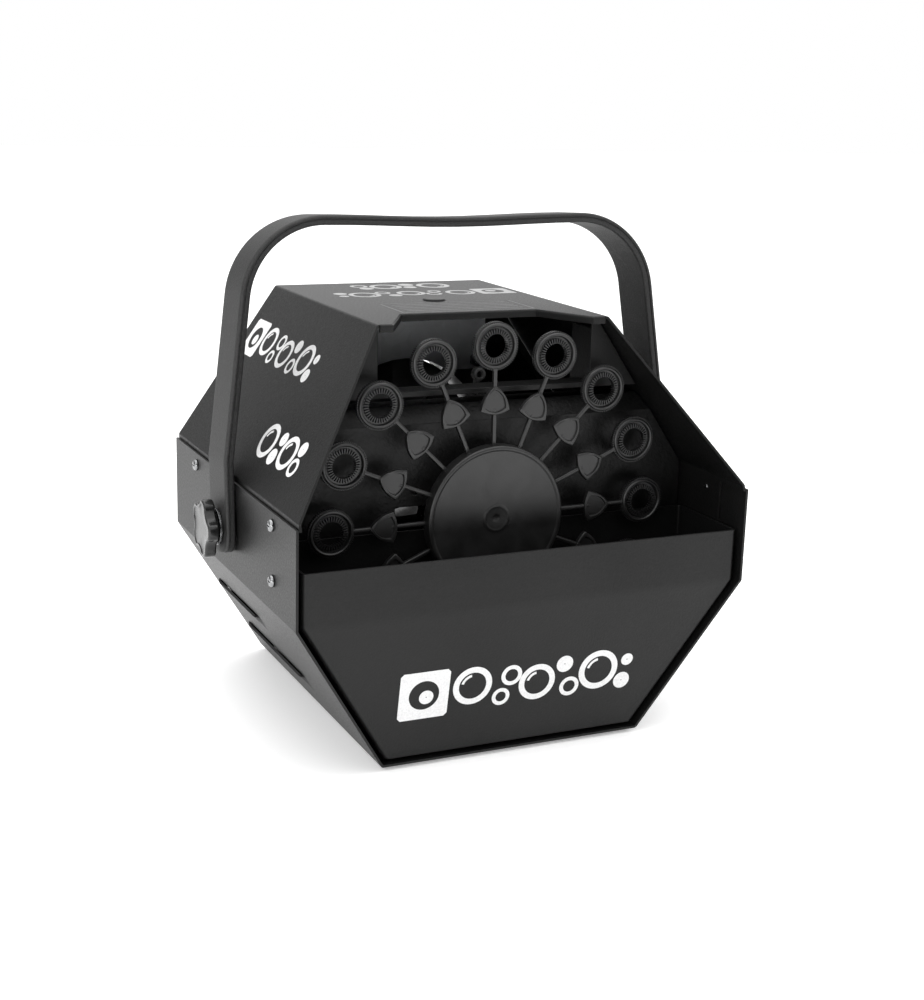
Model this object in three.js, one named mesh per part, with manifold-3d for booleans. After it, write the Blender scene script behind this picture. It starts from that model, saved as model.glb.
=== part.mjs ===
// Bubble machine: a bent-sheet body with a carrying handle, a wheel of bubble wands that dips in
// a fluid tank, the gear motor that turns it, and a fan that blows through the top of the wheel.
// Millimetres, +Z up, the front is -Y, the origin is on the floor below the middle of the body.
import * as THREE from 'three';
import { mergeVertices } from 'three/addons/utils/BufferGeometryUtils.js';
import Module from 'manifold-3d';

const wasm = await Module();
wasm.setup();

// ---------------------------------------------------------------- driving dimensions

const body = {
  depth: 193,
  waistHalf: 115,
  baseHalf: 68,
  topHalf: 60,
  baseZ: 2,
  lowCreaseZ: 78,
  highCreaseZ: 124,
  topZ: 203,
  coverRake: 48,
  baseRake: 14,
  sheet: 1.2,
};
const frontY = -body.depth / 2;
const rearY = body.depth / 2;
const reach = 150;
const screwHoleRadius = 1.8;

const cover = {
  flangeHalf: 113.5, flangeLowZ: 84, flangeFrontY: -76, lipDrop: 3.6, plugRadius: 6, plugY: 24,
};
const notch = { frontHalf: 52, rearHalf: 36, rearY: -19 };
const inner = { side: 111.4, low: 3.2, top: 2 };
const rearPanel = {
  outerY: 87, lowZ: 4.2, highZ: 200.6, sideFlangeFrontY: 48, baseFlangeY: 70, flangeLowZ: 86, flangeHighZ: 122,
};
const tank = { frontY: -94.5, rearY: -43, rimZ: 103.5, wall: 1.5, axleGapHalf: 14, axleGapZ: 92 };
const baffle = {
  frontY: -40, lowZ: 167, highZ: 200.6, windowHalf: 56, railHeight: 2.6, shelfDepth: 13,
  jambDepth: 20, jambHighZ: 196,
};
const plate = {
  frontY: -40, lowZ: 6, kneeZ: 154, crestZ: 162, crestY: -34, topFlangeY: -22, screwX: 36, screwZ: 121,
};
const plateOpening = { lowX: -46, highX: 29, lowZ: 80, highZ: 114 };
const wheel = {
  z: 109, frontY: -56, wands: 16, phase: -0.9, ringRadius: 82.4, hubRadius: 35.4, hubDepth: 6.6, setBack: 3.3,
  thickness: 3.6, arm: 2,
};
const ring = { outer: 11.7, inner: 5.8 };
const petal = { base: 49.8, apex: 63.2, width: 14.8 };
const gearMotor = {
  frontY: -34.6, drop: 10, gearRadius: 25, gearDepth: 13, canRadius: 18, canDepth: 20, screwX: 18,
};
const fan = {
  z: 124, side: 92, depth: 25, rearY: 85.3, blades: 7, hubRadius: 19, tipRadius: 42.6, bore: 44, holeInset: 4.9,
};
const handle = {
  pivotY: 1, pivotZ: 101, halfWidth: 120.6, crownHalf: 105.6, straight: 33, below: 12,
  rise: 146.8, corner: 42.4, strip: 28, thickness: 4.8, footRound: 9, leanBack: 4,
};
const knob = {
  radius: 14.5, lobes: 5, phase: 15, lobeDepth: 3, depth: 5.5, neckRadius: 8, neckDepth: 1.8, studRadius: 3,
};
const sideScrews = [['rear_upper', 57, 118], ['front_upper', -64, 118], ['front_lower', -65, 92.5]];
const louvres = [{ below: 33, frontY: 8, rearY: 78 }, { below: 62, frontY: -17, rearY: 74 }];
const foot = { radius: 7, x: 50, y: 62 };
const baseScrews = { x: [-35, 35], y: 77 };
const inlet = { x: -26, z: 42, width: 27.5, height: 20, flange: 3, depth: 18 };
const rockerSwitch = { x: 26, z: 42, width: 19, height: 13, flange: 2, depth: 14, pivotDepth: 1, lean: 8 };
const fuse = { x: 0, z: 62, radius: 6 };

// ---------------------------------------------------------------- finishes

const finish = (color, roughness, metalness) => new THREE.MeshStandardMaterial({ color, roughness, metalness });
const powderCoat = finish(0x2b2b2b, 0.55, 0.1);
const blackPlastic = finish(0x1c1c1c, 0.5, 0);
const wheelPlastic = finish(0x262626, 0.38, 0);
const rubber = finish(0x151515, 0.85, 0);
const zincSteel = finish(0x8c8e90, 0.35, 0.9);
const galvanised = finish(0x9a9da0, 0.45, 0.85);
const bluePvc = finish(0x3a4a8a, 0.5, 0);

// ---------------------------------------------------------------- solids

const toRadians = THREE.MathUtils.degToRad;

function toSolid(geometry) {
  const bare = geometry.clone();
  bare.deleteAttribute('normal');
  bare.deleteAttribute('uv');
  const merged = mergeVertices(bare, 1e-4);
  return new wasm.Manifold(new wasm.Mesh({
    numProp: 3,
    vertProperties: new Float32Array(merged.attributes.position.array),
    triVerts: new Uint32Array(merged.index.array),
  }));
}

function toGeometry(solid) {
  const mesh = solid.getMesh();
  const geometry = new THREE.BufferGeometry();
  geometry.setAttribute('position', new THREE.BufferAttribute(new Float32Array(mesh.vertProperties), 3));
  geometry.setIndex(new THREE.BufferAttribute(new Uint32Array(mesh.triVerts), 1));
  geometry.computeVertexNormals();
  return geometry;
}

// Turns a shape drawn in two row axes so that its thickness runs along the third.
const turns = {
  x: new THREE.Matrix4().set(0, 0, 1, 0, 1, 0, 0, 0, 0, 1, 0, 0, 0, 0, 0, 1),
  y: new THREE.Matrix4().set(1, 0, 0, 0, 0, 0, -1, 0, 0, 1, 0, 0, 0, 0, 0, 1),
  z: new THREE.Matrix4(),
};

function prism(axis, points, from, to) {
  const shape = new THREE.Shape(points.map(([a, b]) => new THREE.Vector2(a, b)));
  const geometry = new THREE.ExtrudeGeometry(shape, { depth: to - from, bevelEnabled: false });
  geometry.applyMatrix4(turns[axis]);
  const shift = { x: [from, 0, 0], y: [0, to, 0], z: [0, 0, from] }[axis];
  return toSolid(geometry.translate(...shift));
}

const prismX = (points, from, to) => prism('x', points, from, to);
const prismY = (points, from, to) => prism('y', points, from, to);
const prismZ = (points, from, to) => prism('z', points, from, to);

function box(lowX, highX, lowY, highY, lowZ, highZ) {
  const geometry = new THREE.BoxGeometry(highX - lowX, highY - lowY, highZ - lowZ);
  return toSolid(geometry.translate((lowX + highX) / 2, (lowY + highY) / 2, (lowZ + highZ) / 2));
}

// A turned part: the profile's [radius, height] points start and end on the axis.
function turned(axis, profile, [x, y, z], segments = 20) {
  const geometry = new THREE.LatheGeometry(profile.map(([r, h]) => new THREE.Vector2(r, h)), segments);
  if (axis === 'x') geometry.rotateZ(-Math.PI / 2);
  if (axis === 'z') geometry.rotateX(Math.PI / 2);
  return toSolid(geometry.translate(x, y, z));
}

function rod(axis, radius, from, to, [a, b], segments = 20) {
  const place = { x: [0, a, b], y: [a, 0, b], z: [a, b, 0] }[axis];
  return turned(axis, [[0, from], [radius, from], [radius, to], [0, to]], place, segments);
}

function ringSolid(axis, innerRadius, outerRadius, from, to, centre, segments = 20) {
  return rod(axis, outerRadius, from, to, centre, segments)
    .subtract(rod(axis, innerRadius, from - 1, to + 1, centre, segments));
}

function hexNut(axis, boreRadius, cornerRadius, from, to, centre) {
  const blank = rod(axis, cornerRadius, from, to, centre, 6);
  return blank.subtract(rod(axis, boreRadius, from - 1, to + 1, centre, 16));
}

// A box that runs along Y, centred on [x, z].
function blockY([x, z], width, height, from, to) {
  return box(x - width / 2, x + width / 2, from, to, z - height / 2, z + height / 2);
}

const union = (solids) => solids.reduce((sum, solid) => sum.add(solid));
const cutAll = (solid, cutters) => cutters.reduce((rest, cutter) => rest.subtract(cutter), solid);

// ---------------------------------------------------------------- body cross-section

const lowSlope = (body.waistHalf - body.baseHalf) / (body.lowCreaseZ - body.baseZ);
const highSlope = (body.waistHalf - body.topHalf) / (body.topZ - body.highCreaseZ);
const lowStretch = Math.hypot(1, lowSlope);
const highStretch = Math.hypot(1, highSlope);

// The right half of the six-sided section at three bounds: the lower slant, the side, the upper slant.
function section({ low = 0, side = body.waistHalf, top = 0, fromZ, toZ }) {
  const lowHalf = (z) => body.baseHalf + (z - body.baseZ) * lowSlope - low * lowStretch;
  const highHalf = (z) => body.topHalf + (body.topZ - z) * highSlope - top * highStretch;
  const half = (z) => Math.min(lowHalf(z), side, highHalf(z));
  const lowCrease = body.baseZ + (side + low * lowStretch - body.baseHalf) / lowSlope;
  const highCrease = body.topZ - (side + top * highStretch - body.topHalf) / highSlope;
  const creases = [lowCrease, highCrease].filter((z) => z > fromZ && z < toZ);
  const right = [fromZ, ...creases, toZ].map((z) => [half(z), z]);
  return [...right, ...right.map(([x, z]) => [-x, z]).reverse()];
}

// What the raked front edges leave out below and above the straight front edge.
function baseRakeCut(y = frontY) {
  const corners = [[y - 40, body.lowCreaseZ], [y, body.lowCreaseZ], [y + body.baseRake, body.baseZ]];
  return prismX([...corners, [y + body.baseRake, -20], [y - 40, -20]], -reach, reach);
}

function coverRakeCut() {
  const corners = [[frontY - 40, body.highCreaseZ], [frontY, body.highCreaseZ]];
  const crest = [frontY + body.coverRake, body.topZ];
  return prismX([...corners, crest, [crest[0], body.topZ + 20], [frontY - 40, body.topZ + 20]], -reach, reach);
}

const mirrored = (solid) => solid.mirror([1, 0, 0]);
const bothSides = (solid) => [solid, mirrored(solid)];

const screwHole = (axis, from, to, centre) => rod(axis, screwHoleRadius, from, to, centre, 12);
const sideScrewHoles = () => sideScrews.map(([, y, z]) => screwHole('x', -reach, reach, [y, z]));
const baseScrewHoles = () => baseScrews.x.map((x) => screwHole('z', -1, 8, [x, baseScrews.y]));

// ---------------------------------------------------------------- lower shell

// A point on the right lower slant: `below` mm down from the crease and `out` mm off its face.
function slantPoint(below, out) {
  const across = lowSlope / lowStretch;
  const down = 1 / lowStretch;
  return [body.waistHalf - across * below + down * out, body.lowCreaseZ - down * below - across * out];
}

function louvreHood({ below, frontY: from, rearY: to }) {
  const rise = 2.6;
  const run = 10;
  const skin = 1;
  const onSlant = (points) => points.map(([down, out]) => slantPoint(below + down, out));
  const wedge = onSlant([[0, -0.4], [0, rise], [run, 0], [run, -0.4]]);
  const hollow = onSlant([[-1, -3], [-1, rise - skin], [run - 3, -0.2], [run - 3, -3]]);
  return { hood: prismY(wedge, from, to), hollow: prismY(hollow, from + skin, to - skin) };
}

function lowerShell() {
  const outer = prismY(section({ fromZ: body.baseZ, toZ: body.highCreaseZ }), frontY, rearY);
  const t = body.sheet;
  const room = { low: t, side: body.waistHalf - t, fromZ: body.baseZ + t, toZ: body.highCreaseZ + 1 };
  let shell = outer.subtract(prismY(section(room), frontY - 1, rearY + 1)).subtract(baseRakeCut());
  for (const { hood, hollow } of louvres.map(louvreHood)) {
    for (const [added, cut] of [[hood, hollow], [mirrored(hood), mirrored(hollow)]]) {
      shell = shell.add(added).subtract(cut);
    }
  }
  const stud = rod('x', 3.4, -reach, reach, [handle.pivotY, handle.pivotZ], 16);
  return cutAll(shell, [...sideScrewHoles(), ...baseScrewHoles(), stud]);
}

// ---------------------------------------------------------------- upper cover

function upperCover() {
  const t = body.sheet;
  const side = cover.flangeHalf;
  const outer = prismY(section({ side, fromZ: cover.flangeLowZ, toZ: body.topZ }), frontY, rearY);
  const room = { side: side - t, top: t, fromZ: cover.flangeLowZ - 1, toZ: body.topZ - t };
  const edgeY = frontY + body.coverRake;
  const { frontHalf, rearHalf, rearY: backY } = notch;
  const lipHalf = body.topHalf - 1.5;
  const notchOutline = [
    [-frontHalf, frontY], [frontHalf, frontY], [frontHalf, edgeY],
    [rearHalf, backY], [-rearHalf, backY], [-frontHalf, edgeY],
  ];
  const lipOutline = [
    [-lipHalf, edgeY], [-frontHalf - t, edgeY + t], [-rearHalf - t, backY + t],
    [rearHalf + t, backY + t], [frontHalf + t, edgeY + t], [lipHalf, edgeY],
  ];
  const notchCut = prismZ(notchOutline, body.topZ - 20, body.topZ + 1);
  const lip = prismZ(lipOutline, body.topZ - cover.lipDrop, body.topZ - t / 2).subtract(notchCut);
  const { flangeFrontY, flangeLowZ } = cover;
  const flangeCut = box(-reach, reach, frontY - 1, flangeFrontY, flangeLowZ - 1, body.highCreaseZ - 1);
  const shell = outer.subtract(prismY(section(room), frontY - 1, rearY + 1)).subtract(coverRakeCut());
  const nutRoom = rod('x', 8.5, -reach, reach, [handle.pivotY, handle.pivotZ], 16);
  const plugHole = rod('z', cover.plugRadius - 0.8, body.topZ - 5, body.topZ + 5, [0, cover.plugY], 20);
  return cutAll(shell, [notchCut, flangeCut, ...sideScrewHoles(), nutRoom, plugHole]).add(lip);
}

function topPlug() {
  const r = cover.plugRadius;
  const top = body.topZ;
  const stem = r - 1.1;
  const profile = [
    [0, top - 3], [stem, top - 3], [stem, top + 0.05], [r, top + 0.05], [r - 0.6, top + 0.9], [0, top + 0.9],
  ];
  return turned('z', profile, [0, cover.plugY, 0], 20);
}

// ---------------------------------------------------------------- rear panel

function backPanel() {
  const t = body.sheet;
  const outline = { low: 2, side: inner.side, top: inner.top };
  const { outerY: face, lowZ, highZ, sideFlangeFrontY, baseFlangeY, flangeLowZ, flangeHighZ } = rearPanel;
  const panel = prismY(section({ ...outline, fromZ: lowZ, toZ: highZ }), face - t, face);
  const flange = box(inner.side - t, inner.side, sideFlangeFrontY, face - t / 2, flangeLowZ, flangeHighZ);
  const baseFlange = box(-50, 50, baseFlangeY, face - t / 2, lowZ, lowZ + t);
  const through = (radius, centre, segments) => rod('y', radius, face - 5, face + 5, centre, segments);
  const openings = [
    through(fan.bore, [0, fan.z], 32),
    through(fuse.radius + 0.4, [fuse.x, fuse.z], 16),
    cutout(inlet),
    cutout(rockerSwitch),
    ...baseScrewHoles(),
    sideScrewHoles()[0],
    ...fanCorners().map((corner) => through(2.2, corner, 12)),
  ];
  return cutAll(union([panel, ...bothSides(flange), baseFlange]), openings);
}

function cutout({ x, z, width, height }) {
  const gap = 0.6;
  return blockY([x, z], width + gap, height + gap, rearPanel.outerY - 5, rearPanel.outerY + 5);
}

function powerInlet() {
  const { x, z, width, height, flange, depth } = inlet;
  const face = rearPanel.outerY;
  const back = face - depth;
  const hull = blockY([x, z], width, height, back, face + 1);
  const rim = blockY([x, z], width + 2 * flange, height + 2 * flange, face + 0.1, face + 2.6);
  const mouthHalf = [[7.6, -8.2], [12, 2], [12, 8.2]];
  const mouth = [...mouthHalf, ...mouthHalf.map(([a, b]) => [-a, b]).reverse()].map(([a, b]) => [x + a, z + b]);
  const pin = (dx, dz) => blockY([x + dx, z + dz], 2, 4, back + 2, face - 1.5);
  const tab = (dx) => blockY([x + dx, z], 4.8, 0.8, back - 8, back + 1);
  return union([hull, rim]).subtract(prismY(mouth, back + 2.5, face + 5))
    .add(union([pin(-7, -1), pin(7, -1), pin(0, 3)]))
    .add(union([tab(-8), tab(0), tab(8)]));
}

function switchFrame() {
  const { x, z, width, height, flange, depth } = rockerSwitch;
  const face = rearPanel.outerY;
  const back = face - depth;
  const hull = blockY([x, z], width, height, back, face + 1);
  const rim = blockY([x, z], width + 2 * flange, height + 2 * flange, face + 0.1, face + 2.4);
  const well = blockY([x, z], 15.2, 9.2, face - 7, face + 5);
  const tab = (dx) => blockY([x + dx, z], 0.8, 4.8, back - 8, back + 1);
  return union([hull, rim]).subtract(well).add(union([tab(-5), tab(5)]));
}

// The rocker is drawn level about its own pivot, which lies along Z.
function switchRocker() {
  const outline = [[-5, -3], [5, -3], [6.6, 0], [6.6, 3.6], [0, 2.8], [-6.6, 3.6], [-6.6, 0]];
  return prismZ(outline, -4.2, 4.2);
}

function fuseHolder() {
  const at = [fuse.x, fuse.z];
  const face = rearPanel.outerY;
  const barrel = rod('y', fuse.radius, face - 30, face + 1, at, 16);
  const collar = rod('y', fuse.radius + 2, face + 0.1, face + 2.2, at, 20);
  return union([barrel, collar]).subtract(rod('y', 4.6, face - 26, face + 5, at, 16));
}

function fuseCap() {
  const at = [fuse.x, fuse.z];
  const face = rearPanel.outerY;
  const head = rod('y', 6.6, face + 2.4, face + 9, at, 20);
  const stem = rod('y', 4.2, face - 22, face + 3, at, 16);
  const slot = box(fuse.x - 4, fuse.x + 4, face + 7.8, face + 10, fuse.z - 0.6, fuse.z + 0.6);
  return union([head, stem]).subtract(slot);
}

// ---------------------------------------------------------------- tank, baffle and motor plate

function fluidTank() {
  const { frontY: from, rearY: to, wall } = tank;
  const lowZ = body.baseZ + inner.low;
  const outer = prismY(section({ low: inner.low, side: inner.side, fromZ: lowZ, toZ: tank.rimZ }), from, to);
  const room = { low: inner.low + wall, side: inner.side - wall, fromZ: lowZ + wall, toZ: tank.rimZ + 5 };
  const hollow = prismY(section(room), from + wall, to - wall).subtract(baseRakeCut(from + wall));
  const axleGap = box(-tank.axleGapHalf, tank.axleGapHalf, to - wall - 1, to + 1, tank.axleGapZ, tank.rimZ + 1);
  return cutAll(outer, [baseRakeCut(from), hollow, axleGap]);
}

function fanBaffle() {
  const t = body.sheet;
  const { frontY: y, lowZ, windowHalf: half, railHeight, shelfDepth, jambDepth } = baffle;
  const { highZ, jambHighZ } = baffle;
  const sheet = prismY(section({ side: inner.side, top: inner.top, fromZ: lowZ, toZ: highZ }), y, y + t);
  const window = box(-half, half, y - 1, y + t + 1, lowZ + railHeight, highZ + 5);
  const jamb = box(half, half + t, y + t / 2, y + jambDepth, lowZ, jambHighZ);
  const shelf = box(-half - t, half + t, y + t / 2, y + shelfDepth, lowZ + railHeight - t, lowZ + railHeight);
  return union([sheet.subtract(window), ...bothSides(jamb), shelf]);
}

function motorPlate() {
  const t = body.sheet;
  const { frontY: y, lowZ, kneeZ, crestY, crestZ, topFlangeY } = plate;
  const profile = [
    [y, lowZ], [y + t, lowZ], [y + t, kneeZ - 0.4], [crestY + 0.4, crestZ - t],
    [topFlangeY, crestZ - t], [topFlangeY, crestZ], [crestY, crestZ], [y, kneeZ],
  ];
  const envelope = section({ low: inner.low, side: inner.side, top: inner.top, fromZ: lowZ, toZ: crestZ });
  const { lowX, highX, lowZ: sillZ, highZ: headZ } = plateOpening;
  const window = box(lowX, highX, y - 1, y + t + 1, sillZ, headZ);
  const sheet = prismX(profile, -reach, reach).intersect(prismY(envelope, y - 1, topFlangeY + 1));
  return cutAll(sheet, [window, ...plateScrewHoles()]);
}

const plateScrewHoles = () => [-plate.screwX, plate.screwX]
  .map((x) => screwHole('y', plate.frontY - 5, plate.frontY + 5, [x, plate.screwZ]));

const motorScrewHoles = () => [-gearMotor.screwX, gearMotor.screwX]
  .map((x) => screwHole('y', gearMotor.frontY - 2, gearMotor.frontY + 8, [x, wheel.z - gearMotor.drop]));

function motorBracket() {
  const t = body.sheet;
  const y = plate.frontY + t + 0.1;
  const back = gearMotor.frontY - 0.2;
  const topZ = plate.screwZ + 5;
  const web = box(-24, 24, back - t, back, 84, topZ - 1);
  const ears = box(-44, 44, y, y + t, topZ - 10, topZ);
  const step = box(-24, 24, y, back, topZ - t, topZ);
  const shaftHole = rod('y', 5, y - 5, back + 5, [0, wheel.z], 16);
  return cutAll(union([web, ears, step]), [shaftHole, ...plateScrewHoles(), ...motorScrewHoles()]);
}

function gearMotorBody() {
  const { frontY: y, drop, gearRadius, gearDepth, canRadius, canDepth } = gearMotor;
  const centre = [0, wheel.z - drop];
  const gearbox = rod('y', gearRadius, y, y + gearDepth, centre, 28);
  const can = rod('y', canRadius, y + gearDepth - 1, y + gearDepth + canDepth, centre, 24);
  const terminalZ = centre[1] - canRadius - 1.5;
  const terminal = blockY([0, terminalZ], 14, 7, y + gearDepth + 4, y + gearDepth + 14);
  const bore = rod('y', 2.58, y - 1, y + 9, [0, wheel.z], 24);
  return cutAll(union([gearbox, can, terminal]), [bore, ...motorScrewHoles()]);
}

const motorShaft = () => rod('y', 2.5, wheel.frontY + 3, gearMotor.frontY + 8, [0, wheel.z], 24);

// ---------------------------------------------------------------- wand wheel

// The wheel is drawn about its own axle, then moved to its place. Its wands stand behind the hub's face.
function bubbleWheel() {
  const y = wheel.frontY;
  const t = wheel.thickness;
  const r = wheel.hubRadius;
  const dimple = [[0, 0.9], [1.6, 0.9], [2.2, 0.4], [5, 0.4], [5.8, 0], [6.6, 0], [7.4, 0.5]];
  const rim = [[r - 2.4, 0.5], [r - 1.8, 0], [r - 0.7, 0], [r, 0.8], [r, wheel.hubDepth]];
  const boss = [[8, wheel.hubDepth], [8, 11.6], [0, 11.6]];
  const hollow = ringSolid('y', 9.6, r - 2, y + 3, y + wheel.hubDepth + 1, [0, 0], 32);
  const hub = turned('y', [...dimple, ...rim, ...boss], [0, y, 0], 32);
  const bore = rod('y', 2.85, y + 2.7, y + 20, [0, 0], 24);
  const front = y + wheel.setBack;
  const armHalf = wheel.arm / 2;
  const arm = box(-armHalf, armHalf, front + 0.8, front + 2.8, r - 1, wheel.ringRadius - ring.outer + 1);
  const hoop = ringSolid('y', ring.inner, ring.outer, front, front + t, [0, wheel.ringRadius], 14);
  const leaf = prismY(petalOutline(), front + 0.5, front + 2.4);
  const wand = union([arm, leaf, hoop]);
  const step = 360 / wheel.wands;
  const wands = Array.from({ length: wheel.wands }, (_, i) => wand.rotate([0, wheel.phase + i * step, 0]));
  return union([hub.subtract(hollow), ...wands]).subtract(bore).translate([0, 0, wheel.z]);
}

// A triangle with bulging sides: its point faces out along the arm, its base faces the hub.
function petalOutline() {
  const { base, apex, width } = petal;
  const corners = [[-width / 2, base + 2], [width / 2, base + 2], [0, apex]];
  const bulge = [2, 1.6, 1.6];
  const steps = 2;
  const points = [];
  corners.forEach(([x0, z0], i) => {
    const [x1, z1] = corners[(i + 1) % corners.length];
    const length = Math.hypot(x1 - x0, z1 - z0);
    for (let k = 0; k < steps; k += 1) {
      const s = k / steps;
      const out = (bulge[i] * 4 * s * (1 - s)) / length;
      points.push([x0 + (x1 - x0) * s + (z1 - z0) * out, z0 + (z1 - z0) * s - (x1 - x0) * out]);
    }
  });
  return points;
}

function axleCollar() {
  const from = wheel.frontY + 12;
  return ringSolid('y', 2.85, 6, from, from + 4, [0, wheel.z], 20);
}

// ---------------------------------------------------------------- fan

function fanCorners() {
  const pitch = fan.side / 2 - fan.holeInset;
  return [[-1, -1], [1, -1], [1, 1], [-1, 1]].map(([a, b]) => [a * pitch, fan.z + b * pitch]);
}

function fanFrame() {
  const half = fan.side / 2;
  const from = fan.rearY - fan.depth;
  const block = box(-half, half, from, fan.rearY, fan.z - half, fan.z + half);
  const waist = blockY([0, fan.z], fan.side + 2, fan.side + 2, from + 4, fan.rearY - 4)
    .subtract(rod('y', half - 0.4, from + 3, fan.rearY - 3, [0, fan.z], 32));
  const motorSeat = rod('y', 17, from, from + 3.4, [0, fan.z], 20);
  const strut = box(-1.6, 1.6, from, from + 3.2, 14, fan.bore + 1);
  const struts = [35, 125, 215, 305].map((turn) => strut.rotate([0, turn, 0]).translate([0, 0, fan.z]));
  const holes = fanCorners().map(([x, z]) => rod('y', 2.2, from - 1, fan.rearY + 1, [x, z], 12));
  const pinHole = rod('y', 1.6, from + 1.2, from + 5, [0, fan.z], 16);
  return cutAll(block, [waist, rod('y', fan.bore, from - 1, fan.rearY + 1, [0, fan.z], 36), ...holes])
    .add(union([motorSeat, ...struts])).subtract(pinHole);
}

function fanImpeller() {
  const from = fan.rearY - fan.depth + 4;
  const to = fan.rearY - 2;
  const hub = rod('y', fan.hubRadius, from, to, [0, 0], 24);
  const pin = rod('y', 1.5, from - 2.2, from + 1, [0, 0], 16);
  const slab = new THREE.BoxGeometry(25, 1.5, fan.tipRadius - fan.hubRadius + 2);
  slab.rotateZ(toRadians(48)).translate(0, (from + to) / 2, (fan.tipRadius + fan.hubRadius) / 2 - 1);
  const blade = toSolid(slab);
  const sweep = ringSolid('y', 3, fan.tipRadius, from + 0.6, to - 0.6, [0, 0], 36);
  const angles = Array.from({ length: fan.blades }, (_, i) => (i * 360) / fan.blades + 12);
  const blades = angles.map((angle) => blade.rotate([0, angle, 0]).intersect(sweep));
  return union([hub, pin, ...blades]).translate([0, 0, fan.z]);
}

function fanGuard() {
  const y = rearPanel.outerY + 1.4;
  const gauge = 1;
  const hoop = (radius) => {
    const torus = new THREE.TorusGeometry(radius, gauge, 4, 20);
    return toSolid(torus.rotateX(Math.PI / 2).translate(0, y, fan.z));
  };
  const spoke = rod('z', gauge, 12, 55, [0, 0], 6);
  const ears = fanCorners().map(([x, z]) => ringSolid('y', 2.3, 4.2, y - 1, y + 1, [x, z], 12));
  const arms = [45, 135, 225, 315].map((turn) => spoke.rotate([0, turn, 0]).translate([0, y, fan.z]));
  return union([...[15, 25, 35, 45].map(hoop), ...arms, ...ears]);
}

function fanScrew([x, z]) {
  const head = rearPanel.outerY + 2.6;
  const tip = fan.rearY - fan.depth - 5;
  const shank = [[0, tip], [1.9, tip], [1.9, head]];
  const dome = [[3.4, head], [3.2, head + 1.6], [1.8, head + 2.2], [0, head + 2.2]];
  return turned('y', [...shank, ...dome], [x, 0, z], 12);
}

function fanNut([x, z]) {
  const front = fan.rearY - fan.depth - 1.5;
  return hexNut('y', 2.1, 4, front - 3, front, [x, z]);
}

// A zinc-plated strap across the fan's upper corners, folded back under the cover.
function fanStrap() {
  const t = body.sheet;
  const half = fan.side / 2;
  const topZ = 198;
  const back = fan.rearY - fan.depth - 0.2;
  const web = box(-half, half, back - t, back, 160, topZ);
  const fold = box(-half, half, back - t, back + 14, topZ - t, topZ);
  const holes = fanCorners().slice(2).map(([x, z]) => rod('y', 2.2, back - 5, back + 5, [x, z], 12));
  const relief = rod('y', fan.bore - 0.6, back - 5, back + 5, [0, fan.z], 36);
  return cutAll(union([web, fold]), [...holes, relief]);
}

// ---------------------------------------------------------------- handle and knobs

// The outer edge of the handle strip, `inset` mm inside the outside face, about the pivot.
function handleEdge(inset) {
  const { halfWidth, crownHalf, straight, below, rise, corner } = handle;
  const slope = (halfWidth - crownHalf) / (rise - straight);
  const lean = Math.atan(slope);
  const radius = corner - inset;
  const top = rise - inset;
  const legHalf = halfWidth - inset;
  const centreZ = top - radius;
  const legAt = (z) => legHalf - slope * Math.max(0, z - straight) + (1 - Math.cos(lean)) * inset;
  const centreX = legAt(centreZ + radius * Math.sin(lean)) - radius * Math.cos(lean);
  const right = [[legHalf, -below], [legHalf, straight]];
  const steps = 9;
  for (let i = 0; i <= steps; i += 1) {
    const a = lean + (Math.PI / 2 - lean) * (i / steps);
    right.push([centreX + radius * Math.cos(a), centreZ + radius * Math.sin(a)]);
  }
  return [...right, ...right.map(([x, z]) => [-x, z]).reverse()];
}

function carryHandle() {
  const half = handle.strip / 2;
  const { below, footRound: round } = handle;
  const strip = prismY(handleEdge(0), -half, half);
  const openBelow = handleEdge(handle.thickness).map(([x, z]) => [x, z === -below ? z - 5 : z]);
  const corner = box(-reach, reach, half - round, half + 1, -below - 1, -below + round)
    .subtract(rod('x', round, -reach, reach, [half - round, -below + round], 24));
  const stud = rod('x', 3.6, -reach, reach, [0, 0], 16);
  return cutAll(strip, [prismY(openBelow, -half - 1, half + 1), corner, corner.mirror([0, 1, 0]), stud]);
}

function starOutline() {
  const points = 40;
  return Array.from({ length: points }, (_, i) => {
    const a = (i / points) * 2 * Math.PI;
    const wave = Math.cos(knob.lobes * (a - toRadians(90 + knob.phase)));
    const r = knob.radius - knob.lobeDepth * (0.5 - 0.5 * Math.sign(wave) * Math.abs(wave) ** 0.6);
    return [r * Math.cos(a), r * Math.sin(a)];
  });
}

// The right-hand knob with its threaded stud; the left one is its mirror image.
function starKnob() {
  const start = handle.halfWidth + 1.6;
  const at = [handle.pivotY, handle.pivotZ];
  const neck = rod('x', knob.neckRadius, start, start + knob.neckDepth, at, 20);
  const outline = starOutline().map(([a, b]) => [a + at[0], b + at[1]]);
  const headStart = start + knob.neckDepth - 0.2;
  const head = prismX(outline, headStart, headStart + knob.depth);
  const stud = rod('x', knob.studRadius, body.waistHalf - 11, start + 1, at, 16);
  return union([neck, head, stud]);
}

function pivotRing(outerRadius, from, to) {
  return ringSolid('x', 3.3, outerRadius, from, to, [handle.pivotY, handle.pivotZ]);
}

const washer = () => pivotRing(9, handle.halfWidth + 0.3, handle.halfWidth + 1.4);
const spacer = () => pivotRing(8, body.waistHalf + 0.1, handle.halfWidth - handle.thickness - 0.2);

function pivotNut() {
  const outer = body.waistHalf - body.sheet - 0.1;
  return hexNut('x', 3.2, 5.8, outer - 5, outer, [handle.pivotY, handle.pivotZ]);
}

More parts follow.
